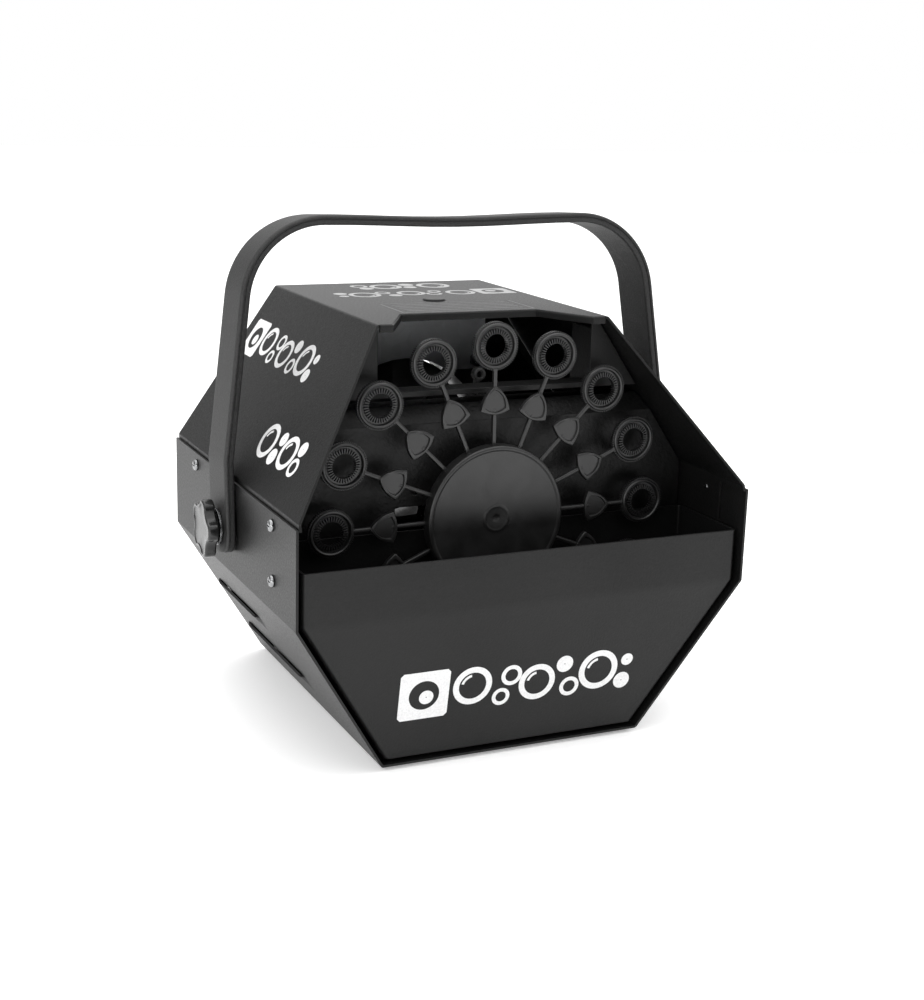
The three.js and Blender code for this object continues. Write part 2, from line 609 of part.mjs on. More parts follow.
function sideScrew(y, z) {
  const face = body.waistHalf + 0.1;
  const tip = face - 3.2;
  const shank = [[0, tip], [1.5, tip], [1.5, face]];
  const dome = [[2.9, face], [2.6, face + 1.3], [1.2, face + 1.9], [0, face + 1.9]];
  return turned('x', [...shank, ...dome], [0, y, z], 12);
}

// ---------------------------------------------------------------- feet, base screws and wiring

function rubberFoot(x, y) {
  const { radius } = foot;
  const profile = [[0, 0], [radius - 0.5, 0], [radius, 0.5], [radius, body.baseZ], [0, body.baseZ]];
  return turned('z', profile, [x, y, 0], 20);
}

function baseScrew(x) {
  const profile = [[0, -1.6], [2.7, -1.2], [2.9, -0.1], [1.5, -0.1], [1.5, 5.9], [0, 5.9]];
  return turned('z', profile, [x, baseScrews.y, body.baseZ], 12);
}

function wire(points, radius) {
  const path = new THREE.CatmullRomCurve3(points.map((p) => new THREE.Vector3(...p)));
  const sides = 8;
  const rim = Array.from({ length: sides }, (_, i) => (i / sides) * 2 * Math.PI);
  const shape = new THREE.Shape(rim.map((a) => new THREE.Vector2(radius * Math.cos(a), radius * Math.sin(a))));
  return toSolid(new THREE.ExtrudeGeometry(shape, { steps: 20, bevelEnabled: false, extrudePath: path }));
}

function motorLead() {
  return wire([[0, -8, 68], [0, 6, 58], [8, 26, 50], [20, 46, 44], [21, 57, 42], [21, 64.4, 42]], 1.6);
}

function fanLead() {
  return wire([[31, 64.4, 42], [31, 56, 42], [34, 44, 56], [33, 42, 74], [30, 50, 84], [30, 60, 84]], 1.6);
}

// A black nylon clip for the leads, which stands on the motor plate's top flange.
function cableClip() {
  const z = plate.crestZ;
  const y = -24.4;
  const base = box(-3, 7, y - 2, y + 2, z + 0.1, z + 1.4);
  const stem = box(1, 3, y - 2, y + 2, z + 1, z + 9);
  const loop = ringSolid('y', 1.7, 3.2, y - 2, y + 2, [3, z + 11.4], 14);
  return union([base, stem, loop]);
}

// ---------------------------------------------------------------- assembly

const machine = new THREE.Group();

function place(name, solid, material, parent = machine) {
  const mesh = new THREE.Mesh(toGeometry(solid), material);
  mesh.name = name;
  parent.add(mesh);
}

function placePair(name, solid, material) {
  place(`${name}_right`, solid, material);
  place(`${name}_left`, mirrored(solid), material);
}

place('lower_shell', lowerShell(), powderCoat);
place('upper_cover', upperCover(), powderCoat);
place('top_plug', topPlug(), blackPlastic);
place('rear_panel', backPanel(), powderCoat);
place('fluid_tank', fluidTank(), powderCoat);
place('fan_baffle', fanBaffle(), powderCoat);
place('motor_plate', motorPlate(), powderCoat);
place('motor_bracket', motorBracket(), zincSteel);
place('gear_motor', gearMotorBody(), zincSteel);
place('motor_shaft', motorShaft(), zincSteel);
place('bubble_wheel', bubbleWheel(), wheelPlastic);
place('axle_collar', axleCollar(), zincSteel);

place('fan_frame', fanFrame(), blackPlastic);
place('fan_impeller', fanImpeller(), blackPlastic);
place('fan_guard', fanGuard(), zincSteel);
place('fan_strap', fanStrap(), galvanised);
fanCorners().forEach((corner, i) => place(`fan_screw_${i + 1}`, fanScrew(corner), zincSteel));
fanCorners().slice(2).forEach((corner, i) => place(`fan_nut_${i + 1}`, fanNut(corner), zincSteel));

place('power_inlet', powerInlet(), blackPlastic);
place('switch_frame', switchFrame(), blackPlastic);

const rockerGroup = new THREE.Group();
rockerGroup.position.set(rockerSwitch.x, rearPanel.outerY - rockerSwitch.pivotDepth, rockerSwitch.z);
rockerGroup.rotation.z = toRadians(rockerSwitch.lean);
machine.add(rockerGroup);
place('switch_rocker', switchRocker(), blackPlastic, rockerGroup);

place('fuse_holder', fuseHolder(), blackPlastic);
place('fuse_cap', fuseCap(), blackPlastic);
place('motor_lead', motorLead(), bluePvc);
place('fan_lead', fanLead(), bluePvc);
place('cable_clip', cableClip(), blackPlastic);

const handleGroup = new THREE.Group();
handleGroup.position.set(0, handle.pivotY, handle.pivotZ);
handleGroup.rotation.x = -toRadians(handle.leanBack);
machine.add(handleGroup);
place('carry_handle', carryHandle(), blackPlastic, handleGroup);

placePair('star_knob', starKnob(), blackPlastic);
placePair('knob_washer', washer(), zincSteel);
placePair('handle_spacer', spacer(), blackPlastic);
placePair('pivot_nut', pivotNut(), zincSteel);
for (const [where, y, z] of sideScrews) {
  placePair(`cover_screw_${where}`, sideScrew(y, z), zincSteel);
}

[[-1, -1], [1, -1], [1, 1], [-1, 1]].forEach(([a, b], i) => {
  place(`rubber_foot_${i + 1}`, rubberFoot(a * foot.x, b * foot.y), rubber);
});
baseScrews.x.forEach((x, i) => place(`base_screw_${i + 1}`, baseScrew(x), zincSteel));

export default machine;
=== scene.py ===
# The finished looks of the bubble machine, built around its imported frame.
# Metres, +Z up, the open front faces -Y. Each dictionary below is in millimetres and degrees.
import math

import bmesh
import bpy
from mathutils import Matrix, Vector


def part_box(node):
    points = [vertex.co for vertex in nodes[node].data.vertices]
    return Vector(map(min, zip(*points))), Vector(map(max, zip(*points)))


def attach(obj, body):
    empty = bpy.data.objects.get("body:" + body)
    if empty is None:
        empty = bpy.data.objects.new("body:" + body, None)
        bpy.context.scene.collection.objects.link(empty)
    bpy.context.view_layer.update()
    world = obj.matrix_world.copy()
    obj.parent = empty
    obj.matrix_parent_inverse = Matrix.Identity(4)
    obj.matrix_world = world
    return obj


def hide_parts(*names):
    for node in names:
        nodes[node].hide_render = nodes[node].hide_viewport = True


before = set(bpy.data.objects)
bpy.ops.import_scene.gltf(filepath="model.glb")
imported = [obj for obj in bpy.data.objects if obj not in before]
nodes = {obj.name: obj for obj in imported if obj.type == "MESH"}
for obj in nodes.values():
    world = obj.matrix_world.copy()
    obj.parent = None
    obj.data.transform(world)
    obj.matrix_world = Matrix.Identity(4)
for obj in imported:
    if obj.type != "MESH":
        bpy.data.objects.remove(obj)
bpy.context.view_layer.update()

mm = 0.001


def boxOf(node):
    low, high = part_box(node)
    return low / mm, high / mm


# ---- camera and studio

camera = {
    "at": (-333.1, -725.5, 311.9), "azimuth": -25.16, "elevation": 14.57, "roll": 1.7, "lens": 58.35,
}


def addCamera():
    azimuth = math.radians(camera["azimuth"])
    elevation = math.radians(camera["elevation"])
    roll = math.radians(camera["roll"])
    flat = math.cos(elevation)
    back = Vector((math.sin(azimuth) * flat, -math.cos(azimuth) * flat, math.sin(elevation)))
    level = (-back).cross(Vector((0, 0, 1))).normalized()
    upright = level.cross(-back)
    right = math.cos(roll) * level + math.sin(roll) * upright
    up = right.cross(-back)
    lens = bpy.data.cameras.new("camera")
    lens.sensor_width = 36
    lens.lens = camera["lens"]
    lens.clip_start = 0.01
    holder = bpy.data.objects.new("camera", lens)
    turn = Matrix((right, up, back)).transposed().to_4x4()
    holder.matrix_world = Matrix.Translation(Vector(camera["at"]) * mm) @ turn
    bpy.context.scene.collection.objects.link(holder)
    bpy.context.scene.camera = holder


def linear(hexColour):
    channels = [int(hexColour[i:i + 2], 16) / 255 for i in (1, 3, 5)]
    return [c / 12.92 if c <= 0.04045 else ((c + 0.055) / 1.055) ** 2.4 for c in channels] + [1.0]


def addNode(tree, kind, settings=None, links=None):
    node = tree.nodes.new(kind)
    for key, value in (settings or {}).items():
        if isinstance(key, int) or key in node.inputs:
            node.inputs[key].default_value = value
        else:
            setattr(node, key, value)
    for key, source in (links or {}).items():
        tree.links.new(source, node.inputs[key])
    return node


studio = {
    "softboxes": [
        {"name": "overhead", "at": (0, 150, 1500), "aim": (0, 0, 60), "size": (1700, 1500), "watts": 9},
        {"name": "leftFill", "at": (-1300, -350, 520), "aim": (0, 0, 80), "size": (700, 900), "watts": 3},
        {"name": "leftFront", "at": (-900, -820, 240), "aim": (0, -60, 110), "size": (240, 420),
         "watts": 2.5},
        {"name": "rightFill", "at": (1200, -800, 600), "aim": (0, 0, 100), "size": (700, 900), "watts": 1.5},
    ],
    "dimWall": 0.1, "paleWall": 1.25, "leftWall": 0.12, "ceiling": 1.45,
    "floorSize": 12000, "sweepGlow": 0.3,
}


def addStudio():
    scene = bpy.context.scene
    scene.view_settings.view_transform = "Standard"
    world = bpy.data.worlds.new("studio")
    scene.world = world
    world.use_nodes = True
    tree = world.node_tree
    tree.nodes.clear()
    # A pale ceiling and backdrop, and a room that is dimmer on the camera's side.
    direction = addNode(tree, "ShaderNodeTexCoord").outputs["Generated"]
    parts = addNode(tree, "ShaderNodeSeparateXYZ", links={0: direction})
    dim, pale, high = studio["dimWall"], studio["paleWall"], studio["ceiling"]
    wall = between(tree, parts.outputs["Y"], dim, pale, -0.7, 0.9)
    shade = between(tree, parts.outputs["X"], studio["leftWall"], 1.0, -0.5, 0.2)
    wall = addNode(tree, "ShaderNodeMath", {"operation": "MULTIPLY"}, {0: wall, 1: shade}).outputs[0]
    up = between(tree, parts.outputs["Z"], 0.0, 1.0, 0.3, 0.6)
    glow = addNode(tree, "ShaderNodeMix", {"data_type": "FLOAT", 3: high}, {0: up, 2: wall}).outputs[0]
    room = addNode(tree, "ShaderNodeBackground", {"Color": linear("#ffffff")}, {"Strength": glow})
    backdrop = addNode(tree, "ShaderNodeBackground", {"Color": linear("#ffffff"), "Strength": 1.0})
    seen = addNode(tree, "ShaderNodeLightPath").outputs["Is Camera Ray"]
    either = addNode(tree, "ShaderNodeMixShader", links={0: seen, 1: room.outputs[0], 2: backdrop.outputs[0]})
    addNode(tree, "ShaderNodeOutputWorld", links={"Surface": either.outputs[0]})
    for box in studio["softboxes"]:
        light = bpy.data.lights.new(box["name"], "AREA")
        light.shape = "RECTANGLE"
        light.size, light.size_y = [side * mm for side in box["size"]]
        light.energy = box["watts"]
        lamp = bpy.data.objects.new(box["name"], light)
        lamp.location = Vector(box["at"]) * mm
        aim = (Vector(box["aim"]) - Vector(box["at"])).normalized()
        lamp.rotation_euler = aim.to_track_quat("-Z", "Y").to_euler()
        scene.collection.objects.link(lamp)
    half = studio["floorSize"] / 2 * mm
    mesh = bpy.data.meshes.new("floor")
    corners = [(-half, -half, 0), (half, -half, 0), (half, half, 0), (-half, half, 0)]
    mesh.from_pydata(corners, [], [(0, 1, 2, 3)])
    floor = bpy.data.objects.new("floor", mesh)
    scene.collection.objects.link(floor)
    # The sweep glows a little, as translucent paper lit from behind does.
    look = {
        "Base Color": linear("#f8f8f8"), "Roughness": 0.8,
        "Emission Color": linear("#ffffff"), "Emission Strength": studio["sweepGlow"],
    }
    floor.data.materials.append(newMaterial("whitePaperSweep", look)[0])


# ---- materials

def newMaterial(name, surface):
    material = bpy.data.materials.new(name)
    material.use_nodes = True
    tree = material.node_tree
    tree.nodes.clear()
    shader = addNode(tree, "ShaderNodeBsdfPrincipled", surface)
    addNode(tree, "ShaderNodeOutputMaterial", links={"Surface": shader.outputs["BSDF"]})
    return material, tree, shader, addNode(tree, "ShaderNodeTexCoord").outputs["Object"]


# A noise whose largest lumps are `size` millimetres across.
def grain(tree, place, size, detail=2.0, roughness=0.5, distortion=0.0):
    settings = {"Scale": 1 / (size * mm), "Detail": detail, "Roughness": roughness, "Distortion": distortion}
    return addNode(tree, "ShaderNodeTexNoise", settings, {"Vector": place}).outputs[0]


def between(tree, factor, low, high, fromLow=0.3, fromHigh=0.7):
    spans = {1: fromLow, 2: fromHigh, 3: low, 4: high}
    return addNode(tree, "ShaderNodeMapRange", spans, {0: factor}).outputs[0]


def tint(tree, shader, factor, dark, light):
    settings = {"data_type": "RGBA", 6: linear(dark), 7: linear(light)}
    mix = addNode(tree, "ShaderNodeMix", settings, {0: factor})
    tree.links.new(mix.outputs[2], shader.inputs["Base Color"])


def addRelief(tree, shader, layers):
    normal = None
    for height, depth, strength in layers:
        links = {"Height": height}
        if normal:
            links["Normal"] = normal
        settings = {"Distance": depth * mm, "Strength": strength}
        normal = addNode(tree, "ShaderNodeBump", settings, links).outputs[0]
    tree.links.new(normal, shader.inputs["Normal"])


# Steel sheet with a black polyester powder coat: an even satin skin with a fine pebbled texture.
# The pebbles are really about 0.3 mm; they are drawn 1 mm wide or more so that they show.
powder = {"dark": "#0c0c0c", "light": "#131313", "patch": 55, "wave": 40, "roughness": (0.38, 0.50)}


def powderCoatedSteel(name, pebble, depth):
    look = {"IOR": 1.45, "Specular IOR Level": 0.34}
    material, tree, shader, place = newMaterial(name, look)
    pebbles = grain(tree, place, pebble, 3)
    patches = grain(tree, place, powder["patch"], 2)
    tint(tree, shader, between(tree, patches, 0, 1), powder["dark"], powder["light"])
    low, high = powder["roughness"]
    tree.links.new(between(tree, pebbles, low, high), shader.inputs["Roughness"])
    waves = grain(tree, place, powder["wave"], 1)
    addRelief(tree, shader, [(waves, 0.25, 0.35), (pebbles, depth, 1.0)])
    return material


# Impact polystyrene moulded in a polished tool: satin black, with faint flow marks.
wheelSkin = {"dark": "#121212", "light": "#1c1c1c", "flow": 14, "roughness": (0.32, 0.44)}


def mouldedPolystyrene():
    material, tree, shader, place = newMaterial("mouldedPolystyrene", {"IOR": 1.59})
    flow = grain(tree, place, wheelSkin["flow"], 4, 0.6, 0.8)
    fine = grain(tree, place, 0.8, 2)
    tint(tree, shader, between(tree, flow, 0, 1), wheelSkin["dark"], wheelSkin["light"])
    low, high = wheelSkin["roughness"]
    tree.links.new(between(tree, flow, low, high), shader.inputs["Roughness"])
    addRelief(tree, shader, [(flow, 0.06, 0.6), (fine, 0.02, 0.6)])
    return material


# Polypropylene from a spark-eroded mould: matt, with a sandy grain that scatters the light.
handleSkin = {
    "dark": "#101010", "light": "#2b2b2b", "sand": 0.9, "roughness": (0.5, 0.7), "depth": 0.2,
}


def sandGrainPolypropylene():
    material, tree, shader, place = newMaterial("sandGrainPolypropylene", {"IOR": 1.49})
    sand = grain(tree, place, handleSkin["sand"], 4, 0.6)
    shade = between(tree, sand, 0, 1, 0.38, 0.66)
    tint(tree, shader, shade, handleSkin["dark"], handleSkin["light"])
    low, high = handleSkin["roughness"]
    tree.links.new(between(tree, sand, low, high), shader.inputs["Roughness"])
    addRelief(tree, shader, [(sand, handleSkin["depth"], 0.9)])
    return material


# Black ABS mouldings: the knobs are polished, the connectors and the fan are matt.
def mouldedAbs(name, dark, light, roughness, lump=1.2, depth=0.03):
    material, tree, shader, place = newMaterial(name, {"IOR": 1.54})
    lumps = grain(tree, place, lump, 3)
    tint(tree, shader, between(tree, grain(tree, place, 9, 2), 0, 1), dark, light)
    gloss = between(tree, lumps, roughness * 0.85, roughness * 1.15)
    tree.links.new(gloss, shader.inputs["Roughness"])
    addRelief(tree, shader, [(lumps, depth, 0.8)])
    return material


# Nitrile rubber, pressed: dull, with a chalky bloom.
def pressedRubber():
    material, tree, shader, place = newMaterial("pressedRubber", {"IOR": 1.52, "Roughness": 0.85})
    bloom = grain(tree, place, 3, 4, 0.6)
    tint(tree, shader, between(tree, bloom, 0, 1), "#101010", "#1e1e1e")
    addRelief(tree, shader, [(grain(tree, place, 0.7, 2), 0.05, 0.8)])
    return material


# Zinc-plated steel: grey metal whose plating clouds the reflection.
def zincPlatedSteel():
    material, tree, shader, place = newMaterial("zincPlatedSteel", {"Metallic": 1.0})
    cloud = grain(tree, place, 2.5, 4, 0.6)
    tint(tree, shader, between(tree, cloud, 0, 1), "#7c7d7e", "#a2a3a4")
    tree.links.new(between(tree, cloud, 0.18, 0.30), shader.inputs["Roughness"])
    addRelief(tree, shader, [(grain(tree, place, 0.5, 2), 0.01, 0.7)])
    return material


# Hot-dipped galvanised sheet: each spangle is a crystal of another tone, 6 mm across.
def galvanisedSheet():
    material, tree, shader, place = newMaterial("galvanisedSheet", {"Metallic": 1.0})
    spangle = addNode(tree, "ShaderNodeTexVoronoi", {"Scale": 1 / (6 * mm)}, {"Vector": place})
    tone = addNode(tree, "ShaderNodeSeparateColor", links={0: spangle.outputs["Color"]}).outputs[0]
    tint(tree, shader, tone, "#c4c6c8", "#d0d2d4")
    tree.links.new(between(tree, tone, 0.55, 0.62, 0, 1), shader.inputs["Roughness"])
    addRelief(tree, shader, [(grain(tree, place, 1.2, 3), 0.02, 0.5)])
    return material


# Blue PVC sheath drawn over copper: smooth, with a soft gloss.
def extrudedPvc():
    material, tree, shader, place = newMaterial("extrudedPvc", {"IOR": 1.53, "Roughness": 0.4})
    tint(tree, shader, between(tree, grain(tree, place, 6, 2), 0, 1), "#22306e", "#2e3f86")
    addRelief(tree, shader, [(grain(tree, place, 1.1, 2), 0.02, 0.6)])
    return material


# Screen-printed ink: a dense, slightly chalky film whose weave of the screen just shows.
def screenInk(name, dark, light):
    material, tree, shader, place = newMaterial(name, {"IOR": 1.5, "Roughness": 0.55})
    weave = grain(tree, place, 0.9, 2)
    tint(tree, shader, between(tree, weave, 0, 1), dark, light)
    addRelief(tree, shader, [(weave, 0.02, 0.5)])
    return material


addCamera()
addStudio()
steel = powderCoatedSteel("finePowderCoat", 1.0, 0.11)
plateSteel = powderCoatedSteel("coarsePowderCoat", 1.7, 0.3)
polystyrene = mouldedPolystyrene()
sandyPlastic = sandGrainPolypropylene()
glossAbs = mouldedAbs("polishedAbs", "#0c0c0c", "#121212", 0.22)
mattAbs = mouldedAbs("sparkErodedAbs", "#161616", "#202020", 0.5, 0.9, 0.05)
rubber = pressedRubber()
zinc = zincPlatedSteel()
galvanised = galvanisedSheet()
pvc = extrudedPvc()
whiteInk = screenInk("whiteScreenInk", "#d8d8d8", "#e9e9e9")
greyInk = screenInk("greyScreenInk", "#6e6e6e", "#838383")
paleInk = screenInk("paleScreenInk", "#a0a0a0", "#b4b4b4")
print("studio and materials are ready")


# ---- making and finishing a piece

def newPiece(name, points, faces, material, body, slot, replaced=(), smooth=True):
    mesh = bpy.data.meshes.new(name)
    mesh.from_pydata([Vector(p) * mm for p in points], [], faces)
    mesh.validate()
    mesh.materials.append(material)
    mesh.polygons.foreach_set("use_smooth", [smooth] * len(mesh.polygons))
    piece = bpy.data.objects.new(name, mesh)
    bpy.context.scene.collection.objects.link(piece)
    if replaced:
        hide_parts(*replaced)
    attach(piece, body)
    return piece


def addModifier(piece, kind, **settings):
    modifier = piece.modifiers.new(kind.lower(), kind)
    for key, value in settings.items():
        setattr(modifier, key, value)
    return modifier


# Rounds the edges sharper than `angle`, and keeps the flat faces flat.
def soften(piece, width, segments=2, angle=35):
    addModifier(piece, "BEVEL", width=width * mm, segments=segments, limit_method="ANGLE",
                angle_limit=math.radians(angle), use_clamp_overlap=True, harden_normals=False)
    addModifier(piece, "WEIGHTED_NORMAL", keep_sharp=True)


def finishNode(node, material, width=0.25, segments=2):
    thing = nodes[node]
    thing.data.materials.clear()
    thing.data.materials.append(material)
    thing.data.polygons.foreach_set("use_smooth", [True] * len(thing.data.polygons))
    addModifier(thing, "WELD", merge_threshold=0.01 * mm)
    addModifier(thing, "DECIMATE", decimate_type="DISSOLVE", angle_limit=math.radians(1))
    soften(thing, width, segments, 30)


# Turns the inner corners of a polyline into arcs.
def rounded(corners, radius, steps=5):
    path = [Vector(corners[0])]
    for before, corner, after in zip(corners, corners[1:], corners[2:]):
        before, corner, after = Vector(before), Vector(corner), Vector(after)
        back, ahead = (before - corner).normalized(), (after - corner).normalized()
        half = back.angle(ahead) / 2
        middle = (back + ahead).normalized()
        centre = corner + middle * (radius / math.sin(half))
        reach = radius / math.tan(half)
        first, last = corner + back * reach - centre, corner + ahead * reach - centre
        for step in range(steps + 1):
            path.append(centre + first.slerp(last, step / steps).normalized() * radius)
    path.append(Vector(corners[-1]))
    return path


# Faces over rows of points; the outside is on the left of a row's run when +Y points ahead.
def gridFaces(rows, columns, isOpen=lambda i, j: False, around=False):
    faces = []
    for i in range(rows - 1):
        for j in range(columns if around else columns - 1):
            after = (j + 1) % columns
            if not isOpen(i, j):
                here, there = i * columns, (i + 1) * columns
                faces.append((here + j, there + j, there + after, here + after))
    return faces


# A turned piece about +Z: rows of (radius, height), pointed where a radius is zero.
def latheMesh(profile, segments):
    points, faces, rings = [], [], []
    for radius, height in profile:
        count = segments if radius else 1
        rings.append([len(points) + step for step in range(count)])
        for step in range(count):
            angle = 2 * math.pi * step / segments
            points.append(Vector((radius * math.cos(angle), radius * math.sin(angle), height)))
    for low, high in zip(rings, rings[1:]):
        for step in range(segments):
            after = step + 1
            corners = [low[step % len(low)], low[after % len(low)]]
            corners += [high[after % len(high)], high[step % len(high)]]
            faces.append(tuple(dict.fromkeys(corners)))
    return points, faces


# Lays a turned piece along `axis`, with its foot at `at`.
def along(mesh, axis, at):
    turn = Vector((0, 0, 1)).rotation_difference(Vector(axis))
    return [turn @ Vector(p) + Vector(at) for p in mesh[0]], mesh[1]


def joined(parts):
    allPoints, allFaces = [], []
    for points, faces in parts:
        start = len(allPoints)
        allPoints += points
        allFaces += [tuple(start + i for i in face) for face in faces]
    return allPoints, allFaces


def boxMesh(low, high):
    xs, ys, zs = zip(low, high)
    points = [Vector((x, y, z)) for x in xs for y in ys for z in zs]
    return points, [(0, 1, 3, 2), (4, 6, 7, 5), (0, 4, 5, 1), (2, 3, 7, 6), (0, 2, 6, 4), (1, 5, 7, 3)]


def mergePoints(piece, distance=0.001):
    work = bmesh.new()
    work.from_mesh(piece.data)
    bmesh.ops.remove_doubles(work, verts=work.verts, dist=distance * mm)
    work.to_mesh(piece.data)
    work.free()


# ---- the bent sheets of the body

shellLow, shellHigh = boxOf("lower_shell")
coverLow, coverHigh = boxOf("upper_cover")
body = {
    "waist": shellHigh.x, "base": 68, "top": 60, "baseZ": shellLow.z, "lowCrease": 78,
    "highCrease": shellHigh.z, "topZ": coverHigh.z, "front": shellLow.y, "rear": shellHigh.y,
    "coverRake": 48, "baseRake": 14, "sheet": 1.2, "bend": 1.8,
}
# Each louvre row: how far down the slant it starts, then its front and its rear end.
louvre = {
    "rise": 1.9, "run": 11, "taper": 6, "rows": [(33, 8, 78), (62, -17, 74)], "slit": 2.5,
    "sheetSplitY": 86.0,
}
notch = {"front": 52, "rear": 36, "rearY": -19, "lip": 3.6, "lipHalf": 58.5, "fold": 1.1, "foldSteps": 4}
flange = {"half": coverHigh.x, "lowZ": coverLow.z, "frontY": -76}
lowSlope = (body["waist"] - body["base"]) / (body["lowCrease"] - body["baseZ"])
highSlope = (body["waist"] - body["top"]) / (body["topZ"] - body["highCrease"])


def shellFront(z):
    share = max(0, (body["lowCrease"] - z) / (body["lowCrease"] - body["baseZ"]))
    return body["front"] + body["baseRake"] * share


def coverFront(z):
    share = max(0, (z - body["highCrease"]) / (body["topZ"] - body["highCrease"]))
    return body["front"] + body["coverRake"] * share


# How far a louvre lifts the sheet, `down` from the crease and at depth y.
def louvreLift(down, y):
    for below, fromY, toY in louvre["rows"]:
        if below < down < below + louvre["run"]:
            ends = min(1, max(0, min(y - fromY, toY - y) / louvre["taper"]))
            fall = 1 - (down - below) / louvre["run"]
            return louvre["rise"] * fall ** 1.2 * math.sin(ends * math.pi / 2)
    return 0


def sheetPiece(name, mesh, replaced):
    piece = newPiece(name, *mesh, steel, "chassis", "powder_coat", replaced)
    mergePoints(piece)
    addModifier(piece, "SOLIDIFY", thickness=body["sheet"] * mm, offset=-1, use_even_offset=True)
    soften(piece, 0.22, 2, 40)
    return piece


def lowerShell():
    waist, base, crease = body["waist"], body["base"], body["lowCrease"]
    corners = [(waist, body["highCrease"]), (waist, crease), (base, body["baseZ"]), (0, body["baseZ"])]
    path = rounded(corners, body["bend"])
    bendSteps = (len(path) - 2) // 2
    slant = Vector((base - waist, body["baseZ"] - crease)).normalized()
    rows = [(point, 0) for point in path[:1 + bendSteps]]
    for below, _, _ in louvre["rows"]:
        run = [below, below + 0.05] + [below + louvre["run"] * k / 6 for k in range(1, 7)]
        rows += [(Vector((waist, crease)) + slant * down, down) for down in run]
    rows += [(point, 0) for point in path[1 + bendSteps:]]
    left = [(Vector((-point.x, point.y)), down) for point, down in reversed(rows[:-1])]
    depths = {louvre["sheetSplitY"]}
    for _, fromY, toY in louvre["rows"]:
        for k in range(5):
            depths |= {fromY + louvre["taper"] * k / 4, toY - louvre["taper"] * k / 4}
    depths = sorted(depths)
    points, lifts = [], []
    for point, down in rows + left:
        side = math.copysign(1, point.x)
        ys = [shellFront(point.y)] + depths + [body["rear"]]
        lifts.append([louvreLift(down, y) for y in ys])
        for y, lift in zip(ys, lifts[-1]):
            points.append(Vector((point.x - side * slant.y * lift, y, point.y + slant.x * lift)))

    # A face is left open as a slit where its rows part by more than this, both ends added up.
    def isSlit(i, j):
        near = abs(lifts[i][j] - lifts[i + 1][j])
        far = abs(lifts[i][j + 1] - lifts[i + 1][j + 1])
        return near + far > louvre["slit"]

    faces = gridFaces(len(lifts), len(depths) + 2, isSlit)
    sheetPiece("lowerShellSheet", (points, faces), ["lower_shell"])


# The cover's sheet is drawn with a cross line at each of these depths.
coverDepths = [-8, 24, 60]


def upperCover():
    half, top, highZ = flange["half"], body["top"], body["topZ"]
    creaseZ = highZ - (half - top) / highSlope
    corners = [(-half, flange["lowZ"]), (-half, creaseZ), (-top, highZ), (0, highZ)]
    path = rounded(corners, body["bend"])
    stepZ = body["highCrease"] - 1
    rows = [(path[0], flange["frontY"]), (Vector((-half, stepZ)), flange["frontY"])]
    rows += [(point, coverFront(point.y)) for point in [Vector((-half, stepZ + 0.1))] + path[1:-1]]
    frontY = coverFront(highZ)
    # Each front corner of the top, and the way it is folded in: as far as the fold, longer on a mitre.
    fold = notch["fold"]
    slope = Vector((notch["front"] - notch["rear"], notch["rearY"] - frontY)).normalized()
    straight = Vector((0, -1))
    facing = Vector((slope.y, -1 - slope.x)).normalized()
    mitred = facing * (fold / math.cos(straight.angle(facing)))
    lipRows = [
        (Vector((-notch["lipHalf"], frontY)), straight * fold),
        (Vector((-notch["front"], frontY)), mitred),
        (Vector((-notch["rear"], notch["rearY"])), mitred),
    ]
    lipRows += [(Vector((-p.x, p.y)), Vector((-inward.x, inward.y))) for p, inward in reversed(lipRows)]
    tops = [(Vector((p.x - inward.x, highZ)), p.y - inward.y) for p, inward in lipRows]
    rows += tops
    rows += [(Vector((-point.x, point.y)), y) for point, y in reversed(rows[:-len(tops)])]
    depths = coverDepths + [body["rear"]]
    points = [Vector((point.x, y, point.y)) for point, front in rows for y in [front] + depths]
    sheet = points, gridFaces(len(rows), len(depths) + 1)
    lip = []
    for p, inward in lipRows:
        lip.append(Vector((p.x, p.y, highZ - notch["lip"])))
        for k in range(notch["foldSteps"] + 1):
            turn = k / notch["foldSteps"] * math.pi / 2
            at = p - inward * (1 - math.cos(turn))
            lip.append(Vector((at.x, at.y, highZ - fold + fold * math.sin(turn))))
    folded = lip, gridFaces(len(lipRows), notch["foldSteps"] + 2)
    sheetPiece("upperCoverSheet", joined([sheet, folded]), ["upper_cover"])


# A dark rubber strip fills the seam between the cover and the rear panel, as painted shade: the gap shows
# dark.
seamStripSize = {"outer": 1.35, "inner": 5, "rear": 85.6, "front": 84.2, "footZ": 126, "bend": 2}


def seamShadeStrip():
    stretch = math.hypot(1, highSlope)
    creaseZ = body["topZ"] - (flange["half"] - body["top"]) / highSlope
    lines = []
    for inset in (seamStripSize["outer"], seamStripSize["inner"]):
        footX = flange["half"] - (seamStripSize["footZ"] - creaseZ) * highSlope - inset * stretch
        topZ = body["topZ"] - inset
        topX = body["top"] + inset * (highSlope - stretch)
        right = rounded([(footX, seamStripSize["footZ"]), (topX, topZ), (0, topZ)], seamStripSize["bend"], 3)
        lines.append(right + [Vector((-p.x, p.y)) for p in reversed(right[:-1])])
    points = []
    front, rear = seamStripSize["front"], seamStripSize["rear"]
    for outer, inner in zip(*lines):
        for p, y in ((outer, front), (outer, rear), (inner, rear), (inner, front)):
            points.append(Vector((p.x, y, p.y)))
    rows = len(points) // 4
    faces = gridFaces(rows, 4, around=True) + [(0, 1, 2, 3), tuple(len(points) - 1 - k for k in range(4))]
    # Its dark rubber is painted shade in the seam, where light came through the gap.
    strip = newPiece("darkSeamStrip", points, faces, rubber, "chassis", "rubber")
    soften(strip, 0.3, 2, 40)


tank = {
    "frontY": -94.5, "rearY": -43, "floorZ": 5.2, "rimZ": 103.5, "wall": 1.5, "half": 111.4, "gap": 3.2,
    "corner": 2.8, "crease": 26, "axleHalf": 14, "axleZ": 92,
}


